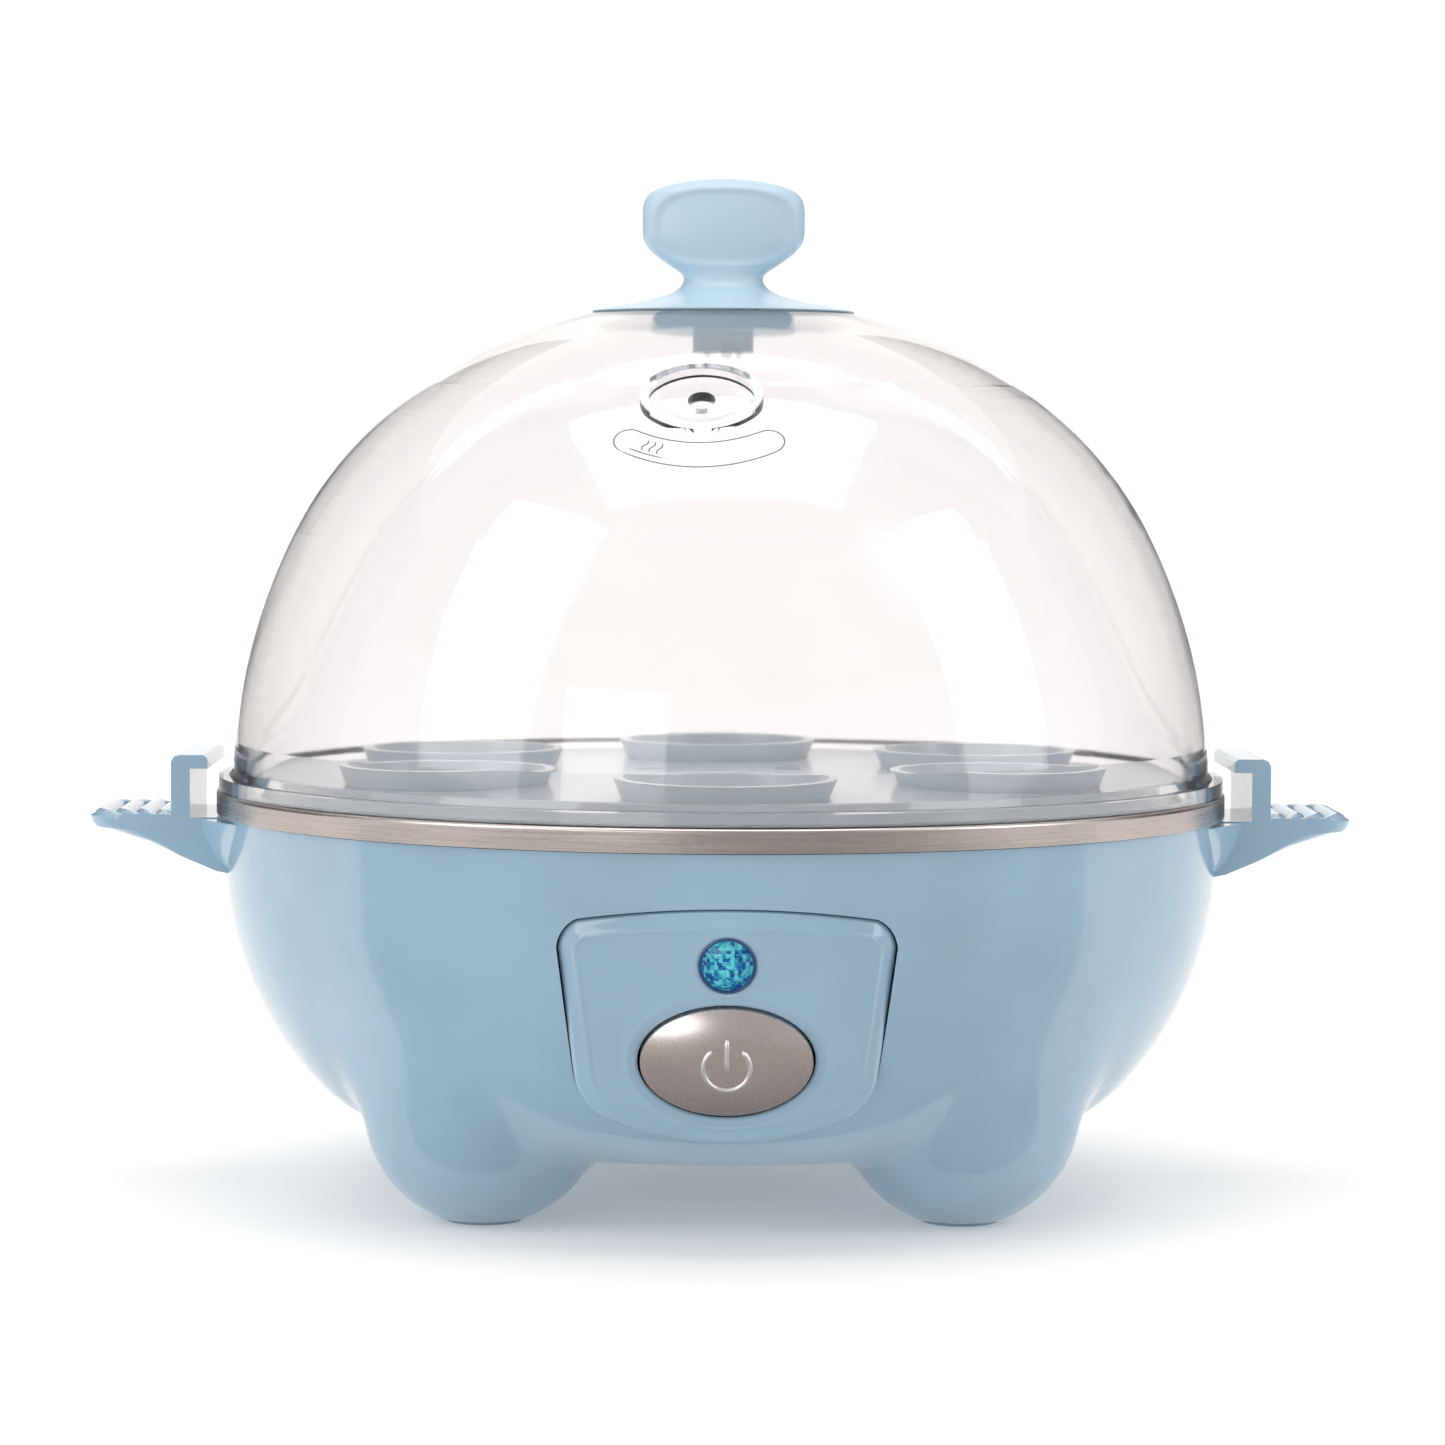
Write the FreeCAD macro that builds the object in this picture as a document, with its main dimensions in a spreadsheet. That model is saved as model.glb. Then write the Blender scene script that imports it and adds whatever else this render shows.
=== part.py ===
import FreeCAD, Part
import math
import os
import re
import Sketcher

# Six-egg steam cooker: a four-legged bowl-shaped base with a control panel and two
# side handles, a steel heating dish, a lift-out egg tray and a clear domed lid.
# Millimetres; +Z up; the front is -Y; the origin lies under the centre, on the table.

V = FreeCAD.Vector
UP = V(0, 0, 1)
SHEET = "dims"
NEAR = 0.1          # how close an edge lies to the place it is looked for
ON_SURFACE = 0.02   # how close an edge's middle lies to the surface it is looked for on

SIZES = {
    # bowl of the base: drafted wall, side arc, lower arc, flat underside
    "bowl_radius": 77.8, "bowl_top": 58.6, "bowl_waist": 47.5, "bowl_draft": 4.9,
    "side_arc": 50, "lower_arc": 24, "arc_split": 43, "wall": 2.2, "floor_level": 13.5,
    "spigot_radius": 77.2, "spigot_top": 60.4, "opening_radius": 26,
    # legs and their rubber pads
    "leg_circle": 50.2, "leg_ball": 18, "leg_ball_level": 18.3, "leg_shoulder": 35,
    "leg_turn": 50, "leg_flare": 14, "leg_top": 40, "leg_bottom": 1.3,
    "pad_radius": 6.2, "pad_height": 2.4, "pad_round": 0.8,
    # bottom cover
    "cover_radius": 32.3, "cover_gap": 0.2, "cover_thick": 1.8, "cover_screw_circle": 29,
    "cover_play": 0.05, "slot_length": 26, "slot_width": 2.6, "slot_pitch": 7,
    # screws, their seats, and how far a cutting tool runs past the face that it opens
    "head_play": 0.2, "floor_boss": 5, "cover_tip": 0.2, "pillar_tip": 8, "overcut": 1,
    "small_head": 2.4, "small_head_height": 1.1, "small_shank": 1.2,
    "big_head": 3, "big_head_height": 1.6, "big_shank": 1.5,
    # handles
    "handle_reach": 97.5, "handle_depth": 26, "handle_deck": 58.8, "handle_under": 56.4,
    "handle_root": 50, "handle_corner": 5, "handle_seat": 4, "handle_arch": 40,
    "handle_tip": 3, "tip_rise": 0.6, "handle_fit": 0.1,
    "rib_radius": 0.7, "rib_pitch": 3.7, "rib_start": 2, "rib_sink": 0.2, "rib_crown": 0.77,
    "post_outer": 84.6, "post_inner": 81.7, "post_top": 67.8, "arm_thick": 2.1,
    "arm_reach": 79, "handle_shelf": 58.2,
    # control panel
    "face_radius": 78.3, "face_level": 50, "face_lean": 11.6, "panel_skin": 2,
    "panel_half_top": 21.2, "panel_half": 23.9, "panel_half_low": 21.6, "panel_half_bottom": 15.5,
    "panel_shoulder": 49, "panel_upper": 45, "panel_lower": 26.5, "panel_base": 19.8,
    "panel_top_arc": 133, "panel_bottom_arc": 43.6, "panel_corner": 5, "panel_low_corner": 7.6,
    "shield_back": 50, "shield_length": 40, "face_low": 5, "face_high": 60, "face_beyond": 110,
    "hollow_inner": 50, "hollow_bottom": 20.8, "hollow_top": 46, "hollow_angle": 27,
    "window_inner": 60, "window_outer": 80, "window_bottom": 20.4, "window_top": 47.5,
    "window_angle": 27, "panel_edge": 0.7, "hole_depth": 12,
    # power button, its plunger and switch
    "button_level": 29, "button_long": 12.2, "button_short": 7.9, "button_end": 5.8,
    "button_gap": 0.35, "button_proud": 2, "button_back": 4.8, "button_flange": 0.7,
    "button_flange_thick": 1.2, "button_round": 1.6, "stem_radius": 2.2, "stem_end": 14,
    "plunger_radius": 2, "plunger_end": 20, "plunger_bore": 2.4, "bore_end": 24,
    "switch_front": 17, "switch_back": 26, "switch_side": 12,
    "bracket_width": 16, "bracket_thick": 1.2, "bracket_length": 40, "bracket_drop": 32,
    "trim_side": 60, "trim_depth": 30, "trim_front": 80,
    # indicator
    "lens_level": 42.9, "lens_radius": 4.15, "lens_barrel": 3.6, "lens_hole": 3.75,
    "lens_dome": 1, "lens_rim": 0.4, "lens_flat": 0.8, "lens_back": 2.6,
    "lamp_radius": 2.1, "lamp_length": 14, "lamp_distance": 71.4, "lamp_level": 43.5,
    # heating dish
    "band_radius": 78.5, "band_bottom": 58.75, "band_top": 62.2, "gauge": 1,
    "land_radius": 74.4, "ledge_level": 61, "ledge_radius": 71.5, "dish_radius": 69.5,
    "dish_floor": 43.5, "dish_corner": 6, "dish_thick": 1.2, "band_round": 0.5,
    "gasket_inner": 75.6, "gasket_top": 61.2, "ledge_slope": 1,
    # under the dish
    "element_circle": 27, "element_tube": 3.8, "element_span": 310, "pin_radius": 1.1,
    "pin_inset": 3,
    "pin_end": 27, "bar_length": 64, "bar_width": 10, "bar_top": 34.7, "bar_thick": 1.5,
    "stud_place": 17, "stud_radius": 2, "stud_end": 29.6, "nut_flats": 7, "nut_height": 3,
    "thermostat_cap": 8.2, "thermostat_body": 7.2, "thermostat_step": 38.3,
    "tab_place": 6, "tab_width": 4, "tab_thick": 0.8, "tab_end": 28, "tab_root": 0.5,
    "fuse_radius": 1.8, "fuse_length": 11, "fuse_place": 14, "fuse_lead": 0.5,
    "fuse_lead_length": 6,
    "pillar_circle": 37, "pillar_radius": 3.5, "pillar_foot": 15.5, "thread_depth": 9,
    "block_length": 18, "block_width": 9, "block_height": 11.5, "block_place": 42,
    "block_screw": 1.7, "block_screw_place": 5, "block_screw_height": 1.2,
    # wiring
    "wire_radius": 0.9, "wire_bend": 2, "wire_rise": 6, "wire_side": 14,
    "wire_front": 52, "wire_switch": 33, "wire_detour": 24,
    "lead_radius": 0.5, "lead_bend": 1, "lead_out": 3.5, "lead_fall": 60, "lead_knee": 37,
    "lead_back": 55, "lead_switch": 35,
    # cord gland
    "gland_level": 27, "gland_flange": 7, "gland_flange_thick": 1.5, "gland_seat": 0.7,
    "gland_barrel": 5, "gland_nozzle": 5.2, "gland_out": 4, "gland_in": 6, "cord_bore": 3.4,
    # egg tray
    "tray_radius": 73.6, "tray_rim": 70.2, "tray_deck": 62.3, "tray_thick": 1.5,
    "seat_circle": 48, "seat_hole": 13.2, "seat_mouth": 15, "seat_wall": 1.4, "seat_top": 66.8,
    "steam_circle": 22, "steam_hole": 2.2, "tray_centre_hole": 5,
    "rim_under": 0.8, "rim_over": 0.6, "tray_cut": 80,
    # lid
    "flange_radius": 78.2, "flange_top": 64.5, "lid_foot": 76, "lid_foot_level": 65.6,
    "foot_spread": 0.6,
    "lid_wall": 1.8, "lid_top": 138.7, "crown_arc": 84, "shoulder_arc": 59, "lid_side_arc": 90,
    "crown_angle": 56.8, "shoulder_angle": 26.6, "lid_draft": 5, "knob_hole": 2.6,
    "vent_circle": 50, "vent_bearing": 4.3, "vent_long": 9, "vent_short": 7.2, "vent_end": 5.6,
    "vent_lip": 1.3, "vent_proud": 1.3, "vent_hole": 2, "lip_skin": 0.3,
    # knob
    "knob_top": 157.1, "knob_half": 12.6, "knob_neck": 6.15, "knob_disc": 20.3,
    "knob_depth": 11, "knob_round": 1.8, "knob_shoulder": 7.5,
    "knob_cheek": 9.2, "knob_cheek_arc": 5.83, "knob_chin": 4.8, "knob_seat_gap": 0.1,
    "knob_disc_edge": 0.7, "chin_rise": 2.7, "cheek_rise": 4.6, "side_rise": 9.9,
    "flare_spread": 2.4, "flare_rise": 0.9, "neck_arc": 3, "neck_foot": 3, "neck_end": 6,
    "knob_bore": 8, "screw_reach": 7.5,
    "washer_radius": 11.2, "washer_bottom": 133.4, "boss_radius": 4.75, "boss_bottom": 130.2,
    "washer_gap": 0.05,
}

doc = FreeCAD.newDocument("egg_cooker")
sheet = doc.addObject("Spreadsheet::Sheet", SHEET)
for row, (alias, size) in enumerate(SIZES.items(), 1):
    sheet.set(f"A{row}", alias)
    sheet.set(f"B{row}", str(size))
    sheet.setAlias(f"B{row}", alias)
doc.recompute()


# ---------------------------------------------------------------- expressions and sketches

def bound(text):
    """The expression with each size's name written as its spreadsheet cell."""
    return re.sub(r"[a-z_][a-z0-9_]*",
                  lambda word: f"{SHEET}.{word.group()}" if word.group() in SIZES else word.group(),
                  str(text))


def value(text):
    result = sheet.evalExpression(bound(text))
    return float(getattr(result, "Value", result))


def frame(origin, direction):
    """A placement at origin whose local +Z points along direction."""
    return FreeCAD.Placement(origin, FreeCAD.Rotation(UP, direction))


def new_body(label):
    body = doc.addObject("PartDesign::Body", label)
    body.Label = label
    body.AllowCompound = True
    return body


def new_sketch(body, name, plane="XZ_Plane", offset=None):
    sketch = body.newObject("Sketcher::SketchObject", name)
    support = next(o for o in body.Origin.OriginFeatures if o.Role == plane)
    sketch.AttachmentSupport = [(support, "")]
    sketch.MapMode = "FlatFace"
    if offset:
        sketch.AttachmentOffset = offset
    return sketch


def arc_between(start, end, radius, turn):
    """The short arc between two points; turn +1 keeps its centre on the left."""
    half = (end - start) * 0.5
    left = V(-half.y, half.x, 0).normalize()
    reach = math.sqrt(max(radius ** 2 - half.Length ** 2, 0))
    centre = (start + end) * 0.5 + left * (turn * reach)
    first, last = (start, end) if turn > 0 else (end, start)
    angles = [math.atan2(p.y - centre.y, p.x - centre.x) for p in (first, last)]
    return Part.ArcOfCircle(Part.Circle(centre, UP, radius), *angles)


def bind(sketch, kind, where, size):
    index = sketch.addConstraint(Sketcher.Constraint(kind, *where, value(size)))
    sketch.setExpression(f"Constraints[{index}]", bound(size))


def outline(sketch, vertices):
    """A closed loop: each vertex is (x, y) or (x, y, radius, turn) with the arc that leaves it."""
    points = [V(value(v[0]), value(v[1]), 0) for v in vertices]
    count = len(points)
    first = sketch.GeometryCount
    starts = []
    ends = []
    for i, vertex in enumerate(vertices):
        here, there = points[i], points[(i + 1) % count]
        turn = vertex[3] if len(vertex) == 4 else 1
        if len(vertex) == 2:
            sketch.addGeometry(Part.LineSegment(here, there))
        else:
            sketch.addGeometry(arc_between(here, there, value(vertex[2]), turn))
        starts.append(1 if turn > 0 else 2)
        ends.append(2 if turn > 0 else 1)
    for i in range(count):
        follower = (i + 1) % count
        joined = (first + i, ends[i], first + follower, starts[follower])
        sketch.addConstraint(Sketcher.Constraint("Coincident", *joined))
    for i, vertex in enumerate(vertices):
        bind(sketch, "DistanceX", (first + i, starts[i]), vertex[0])
        bind(sketch, "DistanceY", (first + i, starts[i]), vertex[1])
        if len(vertex) == 4:
            bind(sketch, "Radius", (first + i,), vertex[2])


def circle(sketch, x, y, radius):
    centre = V(value(x), value(y), 0)
    index = sketch.addGeometry(Part.Circle(centre, UP, value(radius)))
    bind(sketch, "DistanceX", (index, 3), x)
    bind(sketch, "DistanceY", (index, 3), y)
    bind(sketch, "Radius", (index,), radius)


def turning_axis(sketch, x):
    """A construction line parallel to the sketch's Y axis, to revolve about."""
    line = Part.LineSegment(V(value(x), 0, 0), V(value(x), 10, 0))
    index = sketch.addGeometry(line, True)
    sketch.addConstraint(Sketcher.Constraint("Vertical", index))
    bind(sketch, "DistanceX", (index, 1), x)
    return "Axis0"


# ---------------------------------------------------------------- features

def revolve(body, name, vertices, plane="XZ_Plane", angle="360", centred=False,
            offset=None, axis=None, cut=False):
    sketch = new_sketch(body, f"{name}_section", plane, offset)
    if isinstance(vertices, tuple):
        circle(sketch, *vertices)
    else:
        outline(sketch, vertices)
    line = turning_axis(sketch, axis) if axis else "V_Axis"
    before = body.Shape.Volume if body.Tip else 0
    feature = body.newObject("PartDesign::Groove" if cut else "PartDesign::Revolution", name)
    feature.Profile = (sketch, [""])
    feature.ReferenceAxis = (sketch, [line])
    feature.Midplane = centred
    feature.setExpression("Angle", bound(angle))
    doc.recompute()
    check_change(feature, before, cut)
    return feature


def extrude(body, name, loops, length, plane="XY_Plane", offset=None, centred=False,
            backwards=False, cut=False):
    """Pad or pocket; loops holds outlines and (x, y, radius) circles."""
    sketch = new_sketch(body, f"{name}_outline", plane, offset)
    for loop in loops:
        if isinstance(loop, tuple):
            circle(sketch, *loop)
        else:
            outline(sketch, loop)
    before = body.Shape.Volume if body.Tip else 0
    feature = body.newObject("PartDesign::Pocket" if cut else "PartDesign::Pad", name)
    feature.Profile = (sketch, [""])
    feature.setExpression("Length", bound(length))
    feature.Midplane = centred
    feature.Reversed = backwards
    doc.recompute()
    check_change(feature, before, cut)
    return feature


def repeat(body, feature, count):
    """A full polar pattern of a feature about the body's vertical axis."""
    pattern = body.newObject("PartDesign::PolarPattern", f"{feature.Name}_round")
    pattern.Originals = [feature]
    axis = next(o for o in body.Origin.OriginFeatures if o.Role == "Z_Axis")
    pattern.Axis = (axis, [""])
    pattern.Angle = 360
    pattern.Occurrences = count
    body.Tip = pattern
    doc.recompute()
    return pattern


def check_change(feature, before, cut):
    if feature.Shape.isNull():
        raise RuntimeError(f"{feature.Name} has no shape")
    if cut and feature.Shape.Volume >= before:
        raise RuntimeError(f"{feature.Name} cuts nothing")


def round_edges(body, name, feature, chosen, radius):
    """Fillet the edges of a feature for which chosen(edge) holds."""
    names = [f"Edge{i}" for i, edge in enumerate(feature.Shape.Edges, 1) if chosen(edge)]
    fillet = body.newObject("PartDesign::Fillet", name)
    fillet.Base = (feature, names)
    fillet.setExpression("Radius", bound(radius))
    doc.recompute()
    check_change(fillet, 0, False)
    return fillet


def box(label, size, corner, placement=None):
    """A Part::Box of bound size; corner is its low corner, in the placement's own axes."""
    solid = doc.addObject("Part::Box", label)
    solid.Label = label
    for side, text in zip(("Length", "Width", "Height"), size):
        solid.setExpression(side, bound(text))
    local = FreeCAD.Placement(V(*(value(c) for c in corner)), FreeCAD.Rotation())
    solid.Placement = (placement or FreeCAD.Placement()).multiply(local)
    return solid


def rod(label, radius, length, start, direction=UP):
    """A Part::Cylinder of bound size from start along direction."""
    solid = doc.addObject("Part::Cylinder", label)
    solid.Label = label
    solid.setExpression("Radius", bound(radius))
    solid.setExpression("Height", bound(length))
    solid.Placement = frame(start, direction)
    return solid


def combine(kind, label, shapes):
    """Part::MultiFuse or Part::Compound of a list, or Part::Cut of the first by the second."""
    result = doc.addObject(kind, label)
    result.Label = label
    if kind == "Part::Cut":
        result.Base, result.Tool = shapes
    elif kind == "Part::Compound":
        result.Links = shapes
    else:
        result.Shapes = shapes
    doc.recompute()
    return result


# ---------------------------------------------------------------- shared curves

def bowl_arc(inset, angle, arc="side_arc", centre=None):
    """A point on the bowl's side arc, inset from its outside, at an angle below level."""
    centre_r, centre_z = centre or bowl_centre()
    return (f"{centre_r} + ({arc} - ({inset})) * cos({angle} * 1deg)",
            f"{centre_z} - ({arc} - ({inset})) * sin({angle} * 1deg)")


def bowl_centre():
    return ("(bowl_radius - (bowl_top - bowl_waist) * tan(bowl_draft * 1deg)"
            " - side_arc * cos(bowl_draft * 1deg))",
            "(bowl_waist + side_arc * sin(bowl_draft * 1deg))")


def lower_centre():
    centre_r, centre_z = bowl_centre()
    return (f"({centre_r} + (side_arc - lower_arc) * cos(arc_split * 1deg))",
            f"({centre_z} - (side_arc - lower_arc) * sin(arc_split * 1deg))")


def bowl_outside(top, top_radius):
    """The outside of the bowl as a closed loop that reaches the axis."""
    flat_r, centre_z = lower_centre()
    return [("0", f"{centre_z} - lower_arc"),
            (flat_r, f"{centre_z} - lower_arc", "lower_arc", 1),
            (*bowl_arc("0", "arc_split"), "side_arc", 1),
            bowl_arc("0", "bowl_draft"),
            (top_radius, top),
            ("0", top)]


def bowl_radius_at(level):
    centre_r, centre_z = bowl_centre()
    return f"({centre_r} + sqrt(side_arc^2 - ({centre_z} - ({level}))^2))"


def mirrored(vertices):
    """The same loop on the other side of the sketch's Y axis."""
    flipped = []
    for vertex in vertices:
        rest = (vertex[2], -vertex[3]) if len(vertex) == 4 else ()
        flipped.append((f"-({vertex[0]})", vertex[1], *rest))
    return flipped


def oval(half_long, half_short, end_radius):
    """Four tangent arcs; the long ones lie along the sketch's X axis."""
    a, b, e = f"({half_long})", f"({half_short})", f"({end_radius})"
    flat = f"((({a} - {e})^2 + {b}^2 - {e}^2) / (2 * ({b} - {e})))"
    x = f"({flat} * ({a} - {e}) / ({flat} - {e}))"
    y = f"({b} - {flat} + {flat} * ({flat} - {b}) / ({flat} - {e}))"
    return [(f"-{x}", f"-{y}", flat, 1), (x, f"-{y}", end_radius, 1),
            (x, y, flat, 1), (f"-{x}", y, end_radius, 1)]


def rectangle(left, bottom, right, top):
    return [(left, bottom), (right, bottom), (right, top), (left, top)]


def face_radius_at(level):
    return f"(face_radius - (face_level - ({level})) * tan(face_lean * 1deg))"


def panel_frame(level):
    """On the panel's face at the front, local +Z along the face's outward normal."""
    lean = math.radians(value("face_lean"))
    origin = V(0, -value(face_radius_at(level)), value(level))
    return frame(origin, V(0, -math.cos(lean), -math.sin(lean)))


def gland_frame():
    """On the back of the bowl, local +Z along the surface's outward normal."""
    centre_z = value(bowl_centre()[1])
    drop = math.asin((centre_z - value("gland_level")) / value("side_arc"))
    origin = V(0, value(bowl_radius_at("gland_level")), value("gland_level"))
    return frame(origin, V(0, math.cos(drop), -math.sin(drop)))


def lid_arc_centres():
    """Centres of the crown, shoulder and side arcs, each tangent to the next."""
    crown = ("0", "(lid_top - crown_arc)")
    shoulder = ("((crown_arc - shoulder_arc) * cos(crown_angle * 1deg))",
                f"({crown[1]} + (crown_arc - shoulder_arc) * sin(crown_angle * 1deg))")
    side = (f"({shoulder[0]} + (shoulder_arc - lid_side_arc) * cos(shoulder_angle * 1deg))",
            f"({shoulder[1]} + (shoulder_arc - lid_side_arc) * sin(shoulder_angle * 1deg))")
    return crown, shoulder, side


def lid_point(centre, arc, inset, angle):
    return (f"{centre[0]} + ({arc} - ({inset})) * cos({angle} * 1deg)",
            f"{centre[1]} + ({arc} - ({inset})) * sin({angle} * 1deg)")


# ---------------------------------------------------------------- base

def leg_section(inset, bottom):
    """Half of a leg: ball, wider shoulder arc, straight flare; inset from its outside."""
    axis = "leg_circle"
    ball = f"(leg_ball - ({inset}))"
    shoulder = f"(leg_shoulder - ({inset}))"
    shift_r = "((leg_ball - leg_shoulder) * sin(leg_turn * 1deg))"
    shift_z = "((leg_ball - leg_shoulder) * cos(leg_turn * 1deg))"
    straight = "(90 - leg_flare)"
    first_r = f"({axis} + sqrt({ball}^2 - (leg_ball_level - ({bottom}))^2))"
    turn_r = f"({axis} + {ball} * sin(leg_turn * 1deg))"
    turn_z = f"(leg_ball_level - {ball} * cos(leg_turn * 1deg))"
    flare_r = f"({axis} + {shift_r} + {shoulder} * sin({straight} * 1deg))"
    flare_z = f"(leg_ball_level - {shift_z} - {shoulder} * cos({straight} * 1deg))"
    top_r = f"({flare_r} + (leg_top - {flare_z}) * tan(leg_flare * 1deg))"
    return [(axis, bottom), (first_r, bottom, ball, 1), (turn_r, turn_z, shoulder, 1),
            (flare_r, flare_z), (top_r, "leg_top"), (axis, "leg_top")]


def diagonal():
    return FreeCAD.Placement(V(), FreeCAD.Rotation(V(0, 1, 0), 45))


def make_housing():
    """One moulding: bowl wall, floor, four hollow legs and the spigot for the dish."""
    body = new_body("base_housing")
    bowl = bowl_outside("bowl_top", "bowl_radius")
    spigot = [("spigot_radius", "bowl_top"), ("spigot_radius", "spigot_top"), ("0", "spigot_top")]
    revolve(body, "bowl", bowl[:-1] + spigot)
    leg = revolve(body, "leg", leg_section("0", "leg_bottom"), offset=diagonal(),
                  axis="leg_circle")
    repeat(body, leg, 4)
    flat_r, arc_z = lower_centre()
    floor_r = f"({flat_r} + sqrt((lower_arc - wall)^2 - ({arc_z} - floor_level)^2))"
    cavity = [("0", "floor_level"), (floor_r, "floor_level", "lower_arc - wall", 1),
              (*bowl_arc("wall", "arc_split"), "side_arc - wall", 1),
              bowl_arc("wall", "bowl_draft"),
              ("gasket_inner", "bowl_top"), ("gasket_inner", "spigot_top + overcut"),
              ("0", "spigot_top + overcut")]
    revolve(body, "cavity", cavity, cut=True)
    hollow = revolve(body, "leg_hollow", leg_section("wall", "pad_height + wall"),
                     offset=diagonal(), axis="leg_circle", cut=True)
    repeat(body, hollow, 4)
    boss = extrude(body, "boss", [("pillar_circle", "0", "floor_boss")],
                   "pillar_foot - floor_level", offset=at_level("floor_level"))
    repeat(body, boss, 4)
    diagonal_place = "leg_circle * sqrt(0.5)"
    recess = extrude(body, "pad_recess", [(diagonal_place, diagonal_place, "pad_radius")],
                     "pad_height", backwards=True, cut=True)
    repeat(body, recess, 4)
    extrude(body, "floor_opening", [("0", "0", "opening_radius")], "floor_level + overcut",
            backwards=True, cut=True)
    rebate_top = f"{underside()} + cover_thick + cover_play"
    extrude(body, "cover_rebate", [("0", "0", "cover_radius + cover_gap")], rebate_top,
            backwards=True, cut=True)
    pilot = extrude(body, "cover_pilot", [("cover_screw_circle", "0", "small_shank")],
                    "floor_level + overcut", backwards=True, cut=True)
    repeat(body, pilot, 3)
    shaft = extrude(body, "pillar_hole", [("pillar_circle", "0", "big_shank")],
                    "pillar_foot + overcut", backwards=True, cut=True)
    repeat(body, shaft, 4)
    sink = extrude(body, "screw_sink", [("pillar_circle", "0", "big_head + head_play")],
                   f"{underside()} + big_head_height", backwards=True, cut=True)
    repeat(body, sink, 4)
    window = mirrored(rectangle("window_inner", "window_bottom", "window_outer", "window_top"))
    revolve(body, "window", window, plane="YZ_Plane", angle="window_angle", centred=True, cut=True)
    place = gland_frame()
    extrude(body, "gland_seat_face", [("0", "0", "gland_flange + head_play")], "2 * gland_seat",
            offset=place, centred=True, cut=True)
    extrude(body, "gland_hole", [("0", "0", "gland_barrel")], "4 * gland_in",
            offset=place, centred=True, cut=True)
    return body


def underside():
    return f"({lower_centre()[1]} - lower_arc)"


def at_level(level):
    return FreeCAD.Placement(V(0, 0, value(level)), FreeCAD.Rotation())


def make_pads():
    body = new_body("foot_pads")
    outer = "(leg_circle + pad_radius)"
    section = [("leg_circle", "0"), (f"{outer} - pad_round", "0", "pad_round", 1),
               (outer, "pad_round"), (outer, "pad_height"), ("leg_circle", "pad_height")]
    pad = revolve(body, "pad", section, offset=diagonal(), axis="leg_circle")
    repeat(body, pad, 4)
    return body


def make_cover():
    body = new_body("bottom_cover")
    extrude(body, "disc", [("0", "0", "cover_radius")], "cover_thick", offset=at_level(underside()))
    slots = []
    for place in (-2, -1, 0, 1, 2):
        middle = f"{place} * slot_pitch"
        half = f"(slot_length - {abs(place)} * slot_pitch) / 2"
        slots.append(rectangle(f"-{half}", f"{middle} - slot_width / 2",
                               half, f"{middle} + slot_width / 2"))
    extrude(body, "slots", slots, f"{underside()} + cover_thick + overcut", backwards=True, cut=True)
    hole = extrude(body, "screw_hole", [("cover_screw_circle", "0", "small_shank")],
                   f"{underside()} + cover_thick + overcut", backwards=True, cut=True)
    repeat(body, hole, 3)
    return body


def screw_ring(label, circle_radius, count, head, head_height, shank, head_level, tip_level):
    """A ring of screws driven upwards, their heads below head_level."""
    body = new_body(label)
    axis = circle_radius
    section = [(axis, f"{head_level} - {head_height}"),
               (f"{axis} + {head}", f"{head_level} - {head_height}"),
               (f"{axis} + {head}", head_level), (f"{axis} + {shank}", head_level),
               (f"{axis} + {shank}", tip_level), (axis, tip_level)]
    screw = revolve(body, f"{label}_one", section, axis=axis)
    repeat(body, screw, count)
    return body


def make_handle(label, turned):
    """A ribbed wing that springs from the bowl, with a hooked post beside the lid's flange."""
    body = new_body(label)
    section = [("bowl_radius - handle_seat", "handle_root"),
               ("bowl_radius", "handle_root", "handle_arch", -1),
               ("handle_reach - handle_tip", "handle_under"),
               ("handle_reach", "handle_under + tip_rise"),
               ("handle_reach", "handle_deck"), ("post_outer", "handle_deck"),
               ("post_outer", "post_top"), ("arm_reach", "post_top"),
               ("arm_reach", "post_top - arm_thick"), ("post_inner", "post_top - arm_thick"),
               ("post_inner", "handle_shelf"), ("bowl_radius - handle_seat", "handle_shelf")]
    wing = extrude(body, "wing", [section], "handle_depth", plane="XZ_Plane", centred=True)
    tip = value("handle_reach")

    def at_tip(edge):
        bounds = edge.BoundBox
        return bounds.XMin > tip - NEAR and bounds.YLength < NEAR and bounds.ZLength > NEAR

    round_edges(body, "tip_corners", wing, at_tip, "handle_corner")
    ribs = []
    for place in range(3):
        middle = f"(handle_reach - rib_start - {place} * rib_pitch)"
        ribs.append([(f"{middle} - rib_radius", "handle_deck - rib_sink"),
                     (f"{middle} + rib_radius", "handle_deck - rib_sink"),
                     (f"{middle} + rib_radius", "handle_deck", "rib_crown", 1),
                     (f"{middle} - rib_radius", "handle_deck")])
    extrude(body, "ribs", ribs, "handle_depth - 2 * handle_corner", plane="XZ_Plane", centred=True)
    revolve(body, "bowl_fit", bowl_outside("bowl_top + handle_fit", "bowl_radius"), cut=True)
    body.Placement = FreeCAD.Placement(V(), FreeCAD.Rotation(UP, 180 if turned else 0))
    return body


# ---------------------------------------------------------------- controls

def panel_outline():
    right = [("panel_half_bottom", "panel_base", "panel_low_corner", 1),
             ("panel_half_low", "panel_lower"), ("panel_half", "panel_upper", "panel_corner", 1),
             ("panel_half_top", "panel_shoulder", "panel_top_arc", 1)]
    left = [("-panel_half_top", "panel_shoulder", "panel_corner", 1), ("-panel_half", "panel_upper"),
            ("-panel_half_low", "panel_lower", "panel_low_corner", 1),
            ("-panel_half_bottom", "panel_base", "panel_bottom_arc", 1)]
    return right + left


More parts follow.
